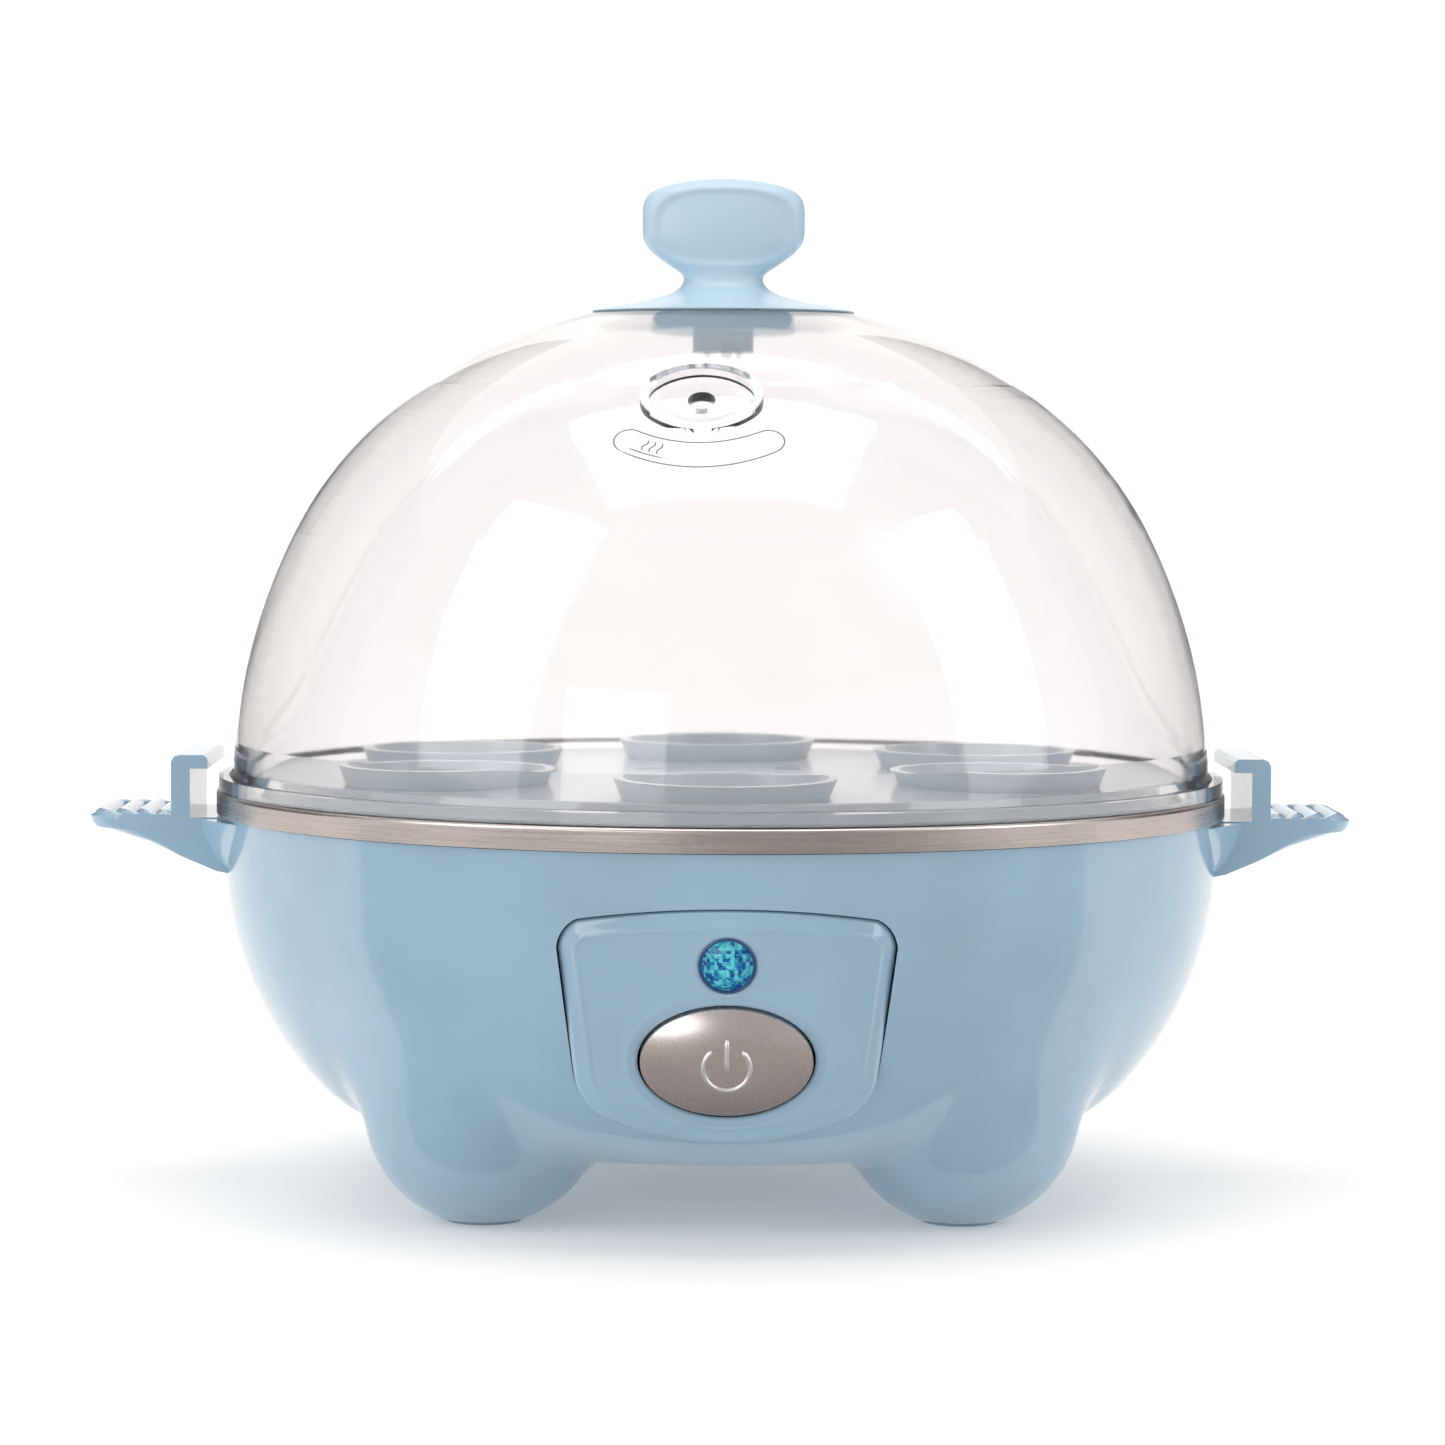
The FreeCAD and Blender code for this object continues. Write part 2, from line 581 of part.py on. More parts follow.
def make_panel():
    """A hollow bezel between the bowl and a leaning cone face, with button and lens holes."""
    body = new_body("control_panel")
    extrude(body, "shield", [panel_outline()], "shield_length", plane="XZ_Plane",
            offset=at_level("shield_back"))
    beyond = [(face_radius_at("face_low"), "face_low"), ("face_beyond", "face_low"),
              ("face_beyond", "face_high"), (face_radius_at("face_high"), "face_high")]
    face = revolve(body, "face", beyond, cut=True)

    def on_face(edge):
        middle = edge.valueAt((edge.FirstParameter + edge.LastParameter) / 2)
        reach = math.hypot(middle.x, middle.y)
        return abs(reach - value(face_radius_at(middle.z))) < ON_SURFACE

    round_edges(body, "face_edge", face, on_face, "panel_edge")
    revolve(body, "bowl_fit", bowl_outside("bowl_top", "bowl_radius"), cut=True)
    hollow = [("hollow_inner", "hollow_bottom"),
              (f"{face_radius_at('hollow_bottom')} - panel_skin", "hollow_bottom"),
              (f"{face_radius_at('hollow_top')} - panel_skin", "hollow_top"),
              ("hollow_inner", "hollow_top")]
    revolve(body, "hollow", mirrored(hollow), plane="YZ_Plane", angle="hollow_angle",
            centred=True, cut=True)
    hole = oval("button_long + button_gap", "button_short + button_gap", "button_end + button_gap")
    extrude(body, "button_hole", [hole], "hole_depth", offset=panel_frame("button_level"),
            centred=True, cut=True)
    extrude(body, "lens_hole_cut", [("0", "0", "lens_hole")], "hole_depth",
            offset=panel_frame("lens_level"), centred=True, cut=True)
    return body


def make_button():
    """Oval cap with a retaining flange and a stem; local +Z is outwards."""
    body = new_body("power_button")
    cap = extrude(body, "cap", [oval("button_long", "button_short", "button_end")],
                  "button_proud + button_back", offset=at_level("-button_back"))
    proud = value("button_proud")
    round_edges(body, "cap_edge", cap, lambda edge: edge.BoundBox.ZMin > proud - NEAR, "button_round")
    flange = oval("button_long + button_flange", "button_short + button_flange",
                  "button_end + button_flange")
    extrude(body, "flange", [flange], "button_flange_thick", offset=at_level("-button_back"))
    extrude(body, "stem", [("0", "0", "stem_radius")], "stem_end - button_back",
            offset=at_level("-stem_end"))
    body.Placement = panel_frame("button_level")
    return body


def make_plunger():
    body = new_body("switch_plunger")
    extrude(body, "pin", [("0", "0", "plunger_radius")], "plunger_end - stem_end",
            offset=at_level("-plunger_end"))
    body.Placement = panel_frame("button_level")
    return body


def make_switch():
    body = new_body("push_switch")
    half = "switch_side / 2"
    extrude(body, "case", [rectangle(f"-{half}", f"-{half}", half, half)],
            "switch_back - switch_front", offset=at_level("-switch_back"))
    extrude(body, "bore", [("0", "0", "plunger_bore")], "bore_end - switch_front",
            offset=at_level("-switch_front"), cut=True)
    body.Placement = panel_frame("button_level")
    return body


def make_switch_bracket():
    """A leaning plate behind the switch, cut off level where it stands on the floor."""
    plate = box("bracket_plate", ("bracket_width", "bracket_length", "bracket_thick"),
                ("-bracket_width / 2", "-bracket_drop", "-switch_back - bracket_thick"),
                panel_frame("button_level"))
    floor = box("bracket_floor", ("trim_side", "trim_side", "trim_depth"),
                ("-trim_side / 2", "-trim_front", "floor_level - trim_depth"))
    return combine("Part::Cut", "switch_bracket", [plate, floor])


def make_lens():
    body = new_body("indicator_lens")
    rise = "(lens_dome - lens_rim)"
    span = "(lens_radius - lens_flat)"
    dome = f"({span}^2 + {rise}^2) / (2 * {rise})"
    section = [("0", "-lens_back"), ("lens_barrel", "-lens_back"), ("lens_barrel", "0"),
               ("lens_radius", "0"), ("lens_radius", "lens_rim", dome, 1),
               ("lens_flat", "lens_dome"), ("0", "lens_dome")]
    revolve(body, "lens", section)
    body.Placement = panel_frame("lens_level")
    return body


def make_lamp():
    start = V(-value("lamp_length / 2"), -value("lamp_distance"), value("lamp_level"))
    return rod("indicator_lamp", "lamp_radius", "lamp_length", start, V(1, 0, 0))


# ---------------------------------------------------------------- heating

def make_dish():
    """Pressed steel dish: rolled band outside, land for the lid, ledge for the tray, floor."""
    body = new_body("heating_plate")
    low_wall = "(dish_floor + dish_corner)"
    section = [
        ("0", "dish_floor - dish_thick"),
        ("dish_radius - dish_corner", "dish_floor - dish_thick", "dish_corner + dish_thick", 1),
        ("dish_radius + dish_thick", low_wall),
        ("ledge_radius + gauge", "ledge_level - gauge - ledge_slope"),
        ("ledge_radius + gauge + ledge_slope", "ledge_level - gauge"),
        ("land_radius + gauge", "ledge_level - gauge"),
        ("land_radius + gauge", "gasket_top"),
        ("band_radius - gauge", "gasket_top"),
        ("band_radius - gauge", "band_bottom"),
        ("band_radius", "band_bottom"),
        ("band_radius", "band_top - band_round", "band_round", 1),
        ("band_radius - band_round", "band_top"),
        ("land_radius", "band_top"),
        ("land_radius", "ledge_level"),
        ("ledge_radius", "ledge_level"),
        ("ledge_radius - ledge_slope", "ledge_level - ledge_slope"),
        ("dish_radius", low_wall, "dish_corner", -1),
        ("dish_radius - dish_corner", "dish_floor"),
        ("0", "dish_floor")]
    revolve(body, "dish", section)
    return body


def make_gasket():
    body = new_body("plate_gasket")
    revolve(body, "ring", rectangle("gasket_inner", "spigot_top", "spigot_radius", "gasket_top"))
    return body


def dish_underside():
    return "(dish_floor - dish_thick)"


def make_element():
    """An open ring of sheathed heating tube with two pins that point down."""
    body = new_body("heating_element")
    middle = f"({dish_underside()} - element_tube)"
    section = ("-element_circle", middle, "element_tube")
    revolve(body, "tube", section, plane="YZ_Plane", angle="element_span", centred=True)
    side = "element_span / 2"
    for name, sign in (("pin_right", "1"), ("pin_left", "-1")):
        x = f"{sign} * element_circle * sin(({side} - pin_inset) * 1deg)"
        y = f"-element_circle * cos(({side} - pin_inset) * 1deg)"
        extrude(body, name, [(x, y, "pin_radius")], f"{middle} - pin_end",
                offset=at_level("pin_end"))
    return body


def make_bar():
    body = new_body("clamp_bar")
    bar = rectangle("-bar_length / 2", "-bar_width / 2", "bar_length / 2", "bar_width / 2")
    holes = [(f"{side} * stud_place", "0", "stud_radius") for side in (1, -1)]
    extrude(body, "bar", [bar, *holes], "bar_thick", offset=at_level("bar_top - bar_thick"))
    return body


def stud_places():
    return [V(side * value("stud_place"), 0, 0) for side in (-1, 1)]


def make_studs():
    studs = []
    for i, place in enumerate(stud_places(), 1):
        length = f"{dish_underside()} - stud_end"
        studs.append(rod(f"stud_{i}", "stud_radius", length, place + UP * value("stud_end")))
    return combine("Part::Compound", "plate_studs", studs)


def make_nuts():
    nuts = []
    for i, place in enumerate(stud_places(), 1):
        hexagon = doc.addObject("Part::Prism", f"nut_hexagon_{i}")
        hexagon.Polygon = 6
        hexagon.setExpression("Circumradius", bound("nut_flats / sqrt(3)"))
        hexagon.setExpression("Height", bound("nut_height"))
        bottom = place + UP * value("bar_top - bar_thick - nut_height")
        hexagon.Placement = FreeCAD.Placement(bottom, FreeCAD.Rotation())
        thread = rod(f"nut_thread_{i}", "stud_radius", "nut_height", bottom)
        nuts.append(combine("Part::Cut", f"nut_{i}", [hexagon, thread]))
    return combine("Part::Compound", "stud_nuts", nuts)


def make_thermostat():
    body = new_body("thermostat")
    section = [("0", "bar_top"), ("thermostat_body", "bar_top"),
               ("thermostat_body", "thermostat_step"), ("thermostat_cap", "thermostat_step"),
               ("thermostat_cap", dish_underside()), ("0", dish_underside())]
    revolve(body, "can", section)
    half = "tab_width / 2"
    for name, side in (("tab_front", "-1"), ("tab_back", "1")):
        near, far = f"{side} * tab_place", f"{side} * (tab_place + tab_thick)"
        low, high = (far, near) if side == "-1" else (near, far)
        extrude(body, name, [rectangle(f"-{half}", low, half, high)], "bar_top - tab_end + tab_root",
                offset=at_level("tab_end"))
    return body


def make_fuse():
    body = new_body("thermal_fuse")
    middle = value(f"{dish_underside()} - fuse_radius")
    place = frame(V(0, value("fuse_place"), middle), V(1, 0, 0))
    half = "fuse_length / 2"
    full = f"({half} + fuse_lead_length)"
    section = [("0", f"-{full}"), ("fuse_lead", f"-{full}"), ("fuse_lead", f"-{half}"),
               ("fuse_radius", f"-{half}"), ("fuse_radius", half), ("fuse_lead", half),
               ("fuse_lead", full), ("0", full)]
    revolve(body, "fuse", section)
    body.Placement = place
    return body


def make_pillars():
    """Four threaded pillars between the floor's bosses and the dish."""
    body = new_body("plate_pillars")
    length = f"{dish_underside()} - pillar_foot"
    pillar = extrude(body, "pillar", [("pillar_circle", "0", "pillar_radius")], length,
                     offset=at_level("pillar_foot"))
    repeat(body, pillar, 4)
    thread = extrude(body, "thread", [("pillar_circle", "0", "big_shank")], "thread_depth",
                     offset=at_level("pillar_foot"), backwards=True, cut=True)
    repeat(body, thread, 4)
    return body


def make_block():
    return box("terminal_block", ("block_length", "block_width", "block_height"),
               ("-block_length / 2", "block_place", "floor_level"))


def make_block_screws():
    screws = []
    for i, side in enumerate((-1, 1), 1):
        place = V(side * value("block_screw_place"), value("block_place + block_width / 2"),
                  value("floor_level + block_height"))
        screws.append(rod(f"block_screw_{i}", "block_screw", "block_screw_height", place))
    return combine("Part::Compound", "terminal_screws", screws)


def wire_along(points, radius, bend):
    """A round wire along straight runs joined by arcs that are tangent to both."""
    edges = []
    start = points[0]
    for before, corner, after in zip(points, points[1:], points[2:]):
        back = (before - corner).normalize()
        ahead = (after - corner).normalize()
        opening = back.getAngle(ahead)
        reach = bend / math.tan(opening / 2)
        first, last = corner + back * reach, corner + ahead * reach
        bisector = (back + ahead).normalize()
        middle = corner + bisector * (bend / math.sin(opening / 2) - bend)
        edges.append(Part.LineSegment(start, first).toShape())
        edges.append(Part.Arc(first, middle, last).toShape())
        start = last
    edges.append(Part.LineSegment(start, points[-1]).toShape())
    section = Part.Wire([Part.Circle(points[0], points[1] - points[0], radius).toShape()])
    return Part.Wire(edges).makePipeShell([section], True, True)


def make_wires():
    """Leads between the terminal block, element, thermostat, switch and lamp."""
    pin_x = value("element_circle * sin((element_span / 2 - pin_inset) * 1deg)")
    pin_y = value("-element_circle * cos((element_span / 2 - pin_inset) * 1deg)")
    pin_z = value("pin_end")
    tab_z, tab_y = value("tab_end"), value("tab_place + tab_thick / 2")
    block_x, block_y = value("block_length / 2"), value("block_place + block_width / 2")
    case, side = value("switch_side / 2"), value("wire_side")
    low = value("floor_level + wire_rise")
    front_y, front_z = -value("wire_front"), value("wire_switch")
    lamp = V(value("lamp_length / 2"), -value("lamp_distance"), value("lamp_level"))
    out = lamp.x + value("lead_out")
    heavy = [
        [V(pin_x, pin_y, pin_z), V(pin_x, pin_y, low), V(pin_x, block_y, low),
         V(block_x, block_y, low)],
        [V(-pin_x, pin_y, pin_z), V(-pin_x, pin_y, low), V(0, tab_y, low), V(0, tab_y, tab_z)],
        [V(0, -tab_y, tab_z), V(0, -tab_y, low), V(side, -value("wire_detour"), low),
         V(side, front_y, low), V(side, front_y, front_z), V(case, front_y, front_z)],
        [V(-block_x, block_y, low), V(-side, block_y, low), V(-side, front_y, low),
         V(-side, front_y, front_z), V(-case, front_y, front_z)],
    ]
    light = []
    for hand in (-1, 1):
        light.append([V(hand * lamp.x, lamp.y, lamp.z), V(hand * out, lamp.y, lamp.z),
                      V(hand * out, -value("lead_fall"), value("lead_knee")),
                      V(hand * out, -value("lead_back"), value("lead_switch")),
                      V(hand * case, -value("lead_back"), value("lead_switch"))])
    tubes = [wire_along(route, value("wire_radius"), value("wire_bend")) for route in heavy]
    tubes += [wire_along(route, value("lead_radius"), value("lead_bend")) for route in light]
    wires = doc.addObject("Part::Feature", "wires")
    wires.Label = "wires"
    wires.Shape = Part.makeCompound(tubes)
    return wires


def make_gland():
    body = new_body("cord_gland")
    section = [("cord_bore", "-gland_in"), ("gland_barrel", "-gland_in"),
               ("gland_barrel", "-gland_seat"), ("gland_flange", "-gland_seat"),
               ("gland_flange", "gland_flange_thick - gland_seat"),
               ("gland_nozzle", "gland_flange_thick - gland_seat"),
               ("gland_nozzle", "gland_out"), ("cord_bore", "gland_out")]
    revolve(body, "bushing", section)
    body.Placement = gland_frame()
    return body


# ---------------------------------------------------------------- tray and lid

def make_tray():
    """Clear deck with six conical egg seats and steam holes."""
    body = new_body("egg_tray")
    top = "(tray_deck + tray_thick)"
    rim_top = "(ledge_level + tray_thick)"
    section = [("0", "tray_deck"), ("tray_rim - rim_under", "tray_deck"), ("tray_rim", "ledge_level"),
               ("tray_radius", "ledge_level"), ("tray_radius", rim_top),
               ("tray_rim + tray_thick", rim_top), ("tray_rim + rim_over", top), ("0", top)]
    revolve(body, "deck", section)
    centre = "seat_circle"
    foot = f"({centre} + seat_hole)"
    mouth = f"({centre} + seat_mouth)"
    collar = [(centre, "tray_deck"), (f"{foot} + seat_wall", "tray_deck"),
              (f"{mouth} + seat_wall", "seat_top"), (centre, "seat_top")]
    seat = revolve(body, "collar", mirrored(collar), plane="YZ_Plane", axis=f"-{centre}")
    repeat(body, seat, 6)
    slope = "((seat_mouth - seat_hole) / (seat_top - tray_deck))"
    cone = [(centre, "tray_deck - overcut"), (f"{foot} - {slope} * overcut", "tray_deck - overcut"),
            (f"{mouth} + {slope} * overcut", "seat_top + overcut"), (centre, "seat_top + overcut")]
    hole = revolve(body, "egg_hole", mirrored(cone), plane="YZ_Plane", axis=f"-{centre}", cut=True)
    repeat(body, hole, 6)
    steam = extrude(body, "steam_hole_cut", [("steam_circle", "0", "steam_hole")], "tray_cut",
                    backwards=True, cut=True)
    repeat(body, steam, 6)
    extrude(body, "centre_hole", [("0", "0", "tray_centre_hole")], "tray_cut", backwards=True,
            cut=True)
    return body


def make_lid():
    """Clear dome of three tangent arcs on a drafted foot, with a flange and a steam vent."""
    body = new_body("lid_dome")
    crown, shoulder, side = lid_arc_centres()
    section = [
        ("lid_foot - lid_wall", "band_top"), ("flange_radius", "band_top"),
        ("flange_radius", "flange_top"), ("lid_foot + foot_spread", "flange_top"),
        ("lid_foot", "lid_foot_level"),
        (*lid_point(side, "lid_side_arc", "0", "lid_draft"), "lid_side_arc", 1),
        (*lid_point(shoulder, "shoulder_arc", "0", "shoulder_angle"), "shoulder_arc", 1),
        (*lid_point(crown, "crown_arc", "0", "crown_angle"), "crown_arc", 1),
        ("0", "lid_top"), ("0", "lid_top - lid_wall", "crown_arc - lid_wall", -1),
        (*lid_point(crown, "crown_arc", "lid_wall", "crown_angle"), "shoulder_arc - lid_wall", -1),
        (*lid_point(shoulder, "shoulder_arc", "lid_wall", "shoulder_angle"),
         "lid_side_arc - lid_wall", -1),
        lid_point(side, "lid_side_arc", "lid_wall", "lid_draft")]
    revolve(body, "dome", section)
    place = vent_frame()
    sunk = place.multiply(at_level("lip_skin - lid_wall"))
    lip = oval("vent_long", "vent_short", "vent_end")
    inner = oval("vent_long - vent_lip", "vent_short - vent_lip", "vent_end - vent_lip")
    extrude(body, "vent_lip_ring", [lip, inner], "lid_wall - lip_skin + vent_proud", offset=sunk)
    extrude(body, "vent_hole_cut", [("0", "0", "vent_hole")], "4 * lid_wall", offset=place,
            centred=True, cut=True)
    extrude(body, "knob_hole_cut", [("0", "0", "knob_hole")], "lid_top + overcut", backwards=True,
            cut=True)
    return body


def vent_frame():
    """On the dome near the front, local +Z along its outward normal, local X level."""
    crown, shoulder, side = lid_arc_centres()
    centre_r, centre_z = value(shoulder[0]), value(shoulder[1])
    radius = value("vent_circle")
    rise = math.acos((radius - centre_r) / value("shoulder_arc"))
    level = centre_z + value("shoulder_arc") * math.sin(rise)
    lean = FreeCAD.Rotation(V(1, 0, 0), 90 - math.degrees(rise))
    tilt = FreeCAD.Placement(V(0, -radius, level), lean)
    return FreeCAD.Placement(V(), FreeCAD.Rotation(UP, -value("vent_bearing"))).multiply(tilt)


def make_knob():
    """A paddle grip on a waisted neck and a thin disc that follows the dome."""
    body = new_body("knob")
    seat = "(crown_arc + knob_seat_gap)"
    seat_z = "(lid_top + knob_seat_gap)"
    edge_z = f"(lid_top - crown_arc + sqrt({seat}^2 - knob_disc^2))"
    section = [("0", seat_z, seat, -1), ("knob_disc", edge_z),
               ("knob_disc", f"{edge_z} + knob_disc_edge"),
               ("knob_neck + flare_spread", "lid_top + flare_rise", "neck_arc", -1),
               ("knob_neck", "lid_top + neck_foot"), ("knob_neck", "lid_top + neck_end"),
               ("0", "lid_top + neck_end")]
    half, corner = "knob_half", "(knob_half - knob_shoulder)"
    right = [("knob_chin", "lid_top + chin_rise"),
             ("knob_cheek", "lid_top + cheek_rise", "knob_cheek_arc", 1),
             (half, "lid_top + side_rise"),
             (half, "knob_top - knob_shoulder", "knob_shoulder", 1), (corner, "knob_top")]
    left = [(f"-{corner}", "knob_top", "knob_shoulder", 1),
            (f"-{half}", "knob_top - knob_shoulder"),
            (f"-{half}", "lid_top + side_rise", "knob_cheek_arc", 1),
            ("-knob_cheek", "lid_top + cheek_rise"), ("-knob_chin", "lid_top + chin_rise")]
    paddle = extrude(body, "paddle", [right + left], "knob_depth", plane="XZ_Plane", centred=True)
    round_edges(body, "paddle_edge", paddle, lambda edge: edge.BoundBox.YLength < NEAR, "knob_round")
    revolve(body, "foot", section)
    extrude(body, "screw_hole", [("0", "0", "big_shank")], "lid_top + knob_bore", backwards=True, cut=True)
    return body


def make_washer():
    body = new_body("knob_washer")
    seat = "(crown_arc - lid_wall - washer_gap)"
    centre = "(lid_top - crown_arc)"
    section = [("big_shank", "boss_bottom"), ("boss_radius", "boss_bottom"),
               ("boss_radius", "washer_bottom"), ("washer_radius", "washer_bottom"),
               ("washer_radius", f"{centre} + sqrt({seat}^2 - washer_radius^2)", seat, 1),
               ("big_shank", f"{centre} + sqrt({seat}^2 - big_shank^2)")]
    revolve(body, "washer", section)
    return body


def make_knob_screw():
    body = new_body("knob_screw")
    section = [("0", "boss_bottom - big_head_height"), ("big_head", "boss_bottom - big_head_height"),
               ("big_head", "boss_bottom"), ("big_shank", "boss_bottom"),
               ("big_shank", "lid_top + screw_reach"), ("0", "lid_top + screw_reach")]
    revolve(body, "screw", section)
    return body


# ---------------------------------------------------------------- build and write

parts = [
    make_housing(), make_handle("handle_right", False), make_handle("handle_left", True),
    make_pads(), make_cover(),
    screw_ring("cover_screws", "cover_screw_circle", 3, "small_head", "small_head_height",
               "small_shank", underside(), "floor_level - cover_tip"),
    screw_ring("plate_screws", "pillar_circle", 4, "big_head", "big_head_height", "big_shank",
               f"({underside()} + big_head_height)", "pillar_foot + pillar_tip"),
    make_panel(), make_button(), make_plunger(), make_switch(), make_switch_bracket(),
    make_lens(), make_lamp(), make_dish(), make_gasket(), make_element(), make_bar(),
    make_studs(), make_nuts(), make_thermostat(), make_fuse(), make_pillars(), make_block(),
    make_block_screws(), make_wires(), make_gland(), make_tray(), make_lid(), make_knob(),
    make_washer(), make_knob_screw(),
]
doc.recompute()
for item in doc.Objects:
    if {"Invalid", "Error"} & set(item.State):
        raise RuntimeError(f"{item.Label} failed: {item.State}")
os.makedirs("parts", exist_ok=True)
for part in parts:
    if part.Shape.isNull() or not part.Shape.isValid():
        raise RuntimeError(f"{part.Label} has no valid shape")
for part in parts:
    part.Shape.exportStep(f"parts/{part.Label}.step")
    bounds = part.Shape.BoundBox
    print(f"{part.Label:18} {len(part.Shape.Solids)} solid(s) {part.Shape.Volume:10.1f} mm3 "
          f"X {bounds.XMin:.2f} {bounds.XMax:.2f} Y {bounds.YMin:.2f} {bounds.YMax:.2f} "
          f"Z {bounds.ZMin:.2f} {bounds.ZMax:.2f}")
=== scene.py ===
import math

import bmesh
import bpy
from mathutils import Matrix, Vector, geometry, kdtree


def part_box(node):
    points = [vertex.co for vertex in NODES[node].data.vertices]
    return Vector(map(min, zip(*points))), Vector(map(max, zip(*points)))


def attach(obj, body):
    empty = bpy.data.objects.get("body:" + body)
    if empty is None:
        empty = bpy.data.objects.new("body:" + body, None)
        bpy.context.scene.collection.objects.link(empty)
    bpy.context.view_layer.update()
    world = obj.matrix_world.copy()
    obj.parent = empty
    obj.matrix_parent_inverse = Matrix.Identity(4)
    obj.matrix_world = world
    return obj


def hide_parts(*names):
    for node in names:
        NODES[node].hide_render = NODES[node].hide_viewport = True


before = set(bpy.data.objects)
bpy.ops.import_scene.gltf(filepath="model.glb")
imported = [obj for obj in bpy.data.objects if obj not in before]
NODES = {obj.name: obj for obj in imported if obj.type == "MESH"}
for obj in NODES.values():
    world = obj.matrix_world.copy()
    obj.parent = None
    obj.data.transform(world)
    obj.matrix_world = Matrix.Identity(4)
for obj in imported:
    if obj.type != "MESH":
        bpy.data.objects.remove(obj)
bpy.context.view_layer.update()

# Six-egg steam cooker. Metres inside Blender; sizes below are millimetres, turned by MM.
MM = 0.001


def low(node):
    """The node's lowest corner in millimetres."""
    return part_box(node)[0] / MM


def high(node):
    """The node's highest corner in millimetres."""
    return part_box(node)[1] / MM


# ---------------------------------------------------------------- material helpers

def new_material(name):
    """A material that holds one Principled shader."""
    material = bpy.data.materials.new(name)
    material.use_nodes = True
    tree = material.node_tree
    tree.nodes.clear()
    output = tree.nodes.new("ShaderNodeOutputMaterial")
    shader = tree.nodes.new("ShaderNodeBsdfPrincipled")
    tree.links.new(shader.outputs["BSDF"], output.inputs["Surface"])
    return material, tree, shader


def object_coordinates(tree, scale=(1, 1, 1)):
    """Object coordinates in millimetres times scale."""
    source = tree.nodes.new("ShaderNodeTexCoord")
    mapping = tree.nodes.new("ShaderNodeMapping")
    mapping.inputs["Scale"].default_value = tuple(1000 * s for s in scale)
    tree.links.new(source.outputs["Object"], mapping.inputs["Vector"])
    return mapping.outputs["Vector"]


def noise(tree, vector, scale, detail=3.0, roughness=0.5):
    """Cloudy noise at vector, as a value from 0 to 1."""
    node = tree.nodes.new("ShaderNodeTexNoise")
    node.inputs["Scale"].default_value = scale
    node.inputs["Detail"].default_value = detail
    node.inputs["Roughness"].default_value = roughness
    tree.links.new(vector, node.inputs["Vector"])
    return node.outputs["Fac"]


def ramp(tree, value, stops):
    """A colour ramp through (position, (r, g, b)) stops."""
    node = tree.nodes.new("ShaderNodeValToRGB")
    elements = node.color_ramp.elements
    while len(elements) < len(stops):
        elements.new(0.5)
    for element, (position, colour) in zip(elements, stops):
        element.position = position
        element.color = (*colour, 1)
    tree.links.new(value, node.inputs["Fac"])
    return node.outputs["Color"]


def span(tree, value, first, last):
    """A value from 0..1 spread over first..last."""
    node = tree.nodes.new("ShaderNodeMapRange")
    node.inputs["To Min"].default_value = first
    node.inputs["To Max"].default_value = last
    tree.links.new(value, node.inputs["Value"])
    return node.outputs["Result"]


def bump(tree, shader, height, strength, distance, previous=None):
    """Bends the shader's normal by a height in millimetres, on top of an earlier bump."""
    node = tree.nodes.new("ShaderNodeBump")
    node.inputs["Strength"].default_value = strength
    node.inputs["Distance"].default_value = distance * MM
    tree.links.new(height, node.inputs["Height"])
    if previous:
        tree.links.new(previous, node.inputs["Normal"])
    tree.links.new(node.outputs["Normal"], shader.inputs["Normal"])
    return node.outputs["Normal"]


def moulded_plastic(name, colour, roughness=0.15, coat=0.5):
    """Glossy injection-moulded plastic: slow colour drift, flow waviness and faint texture."""
    material, tree, shader = new_material(name)
    where = object_coordinates(tree)
    darker = tuple(0.93 * c for c in colour)
    lighter = tuple(min(1.06 * c, 1) for c in colour)
    drift = noise(tree, where, 0.045, 2)
    tree.links.new(ramp(tree, drift, [(0.3, darker), (0.7, lighter)]), shader.inputs["Base Color"])
    fine = noise(tree, where, 0.9, 4)
    tree.links.new(span(tree, fine, roughness * 0.8, roughness * 1.3), shader.inputs["Roughness"])
    slow = bump(tree, shader, noise(tree, where, 0.09, 2), 0.04, 1.0)
    bump(tree, shader, noise(tree, where, 3.5, 3), 0.06, 0.03, slow)
    shader.inputs["Coat Weight"].default_value = coat
    shader.inputs["Coat Roughness"].default_value = 0.06
    shader.inputs["IOR"].default_value = 1.5
    return material


def rough_plastic(name, colour, roughness=0.5):
    """Spark-eroded matt moulding."""
    material, tree, shader = new_material(name)
    where = object_coordinates(tree)
    grain = noise(tree, where, 2.6, 5, 0.65)
    stops = [(0.25, tuple(0.8 * c for c in colour)), (0.75, tuple(1.15 * c for c in colour))]
    tree.links.new(ramp(tree, grain, stops), shader.inputs["Base Color"])
    tree.links.new(span(tree, grain, roughness * 0.85, roughness * 1.15), shader.inputs["Roughness"])
    bump(tree, shader, grain, 0.35, 0.08)
    return material


def clear_plastic(name, colour, roughness=0.02, ior=1.49, clarity=1.0):
    """Clear moulded plastic with slight flow lines and a few soft scuffs."""
    material, tree, shader = new_material(name)
    where = object_coordinates(tree)
    stops = [(0.3, tuple(0.985 * c for c in colour)), (0.7, colour)]
    tree.links.new(ramp(tree, noise(tree, where, 0.05, 2), stops), shader.inputs["Base Color"])
    scuff = noise(tree, object_coordinates(tree, (1, 1, 6)), 0.35, 6, 0.7)
    tree.links.new(span(tree, scuff, roughness, roughness * 3), shader.inputs["Roughness"])
    bump(tree, shader, noise(tree, where, 0.06, 1), 0.04, 1.0)
    shader.inputs["Transmission Weight"].default_value = clarity
    shader.inputs["IOR"].default_value = ior
    return material


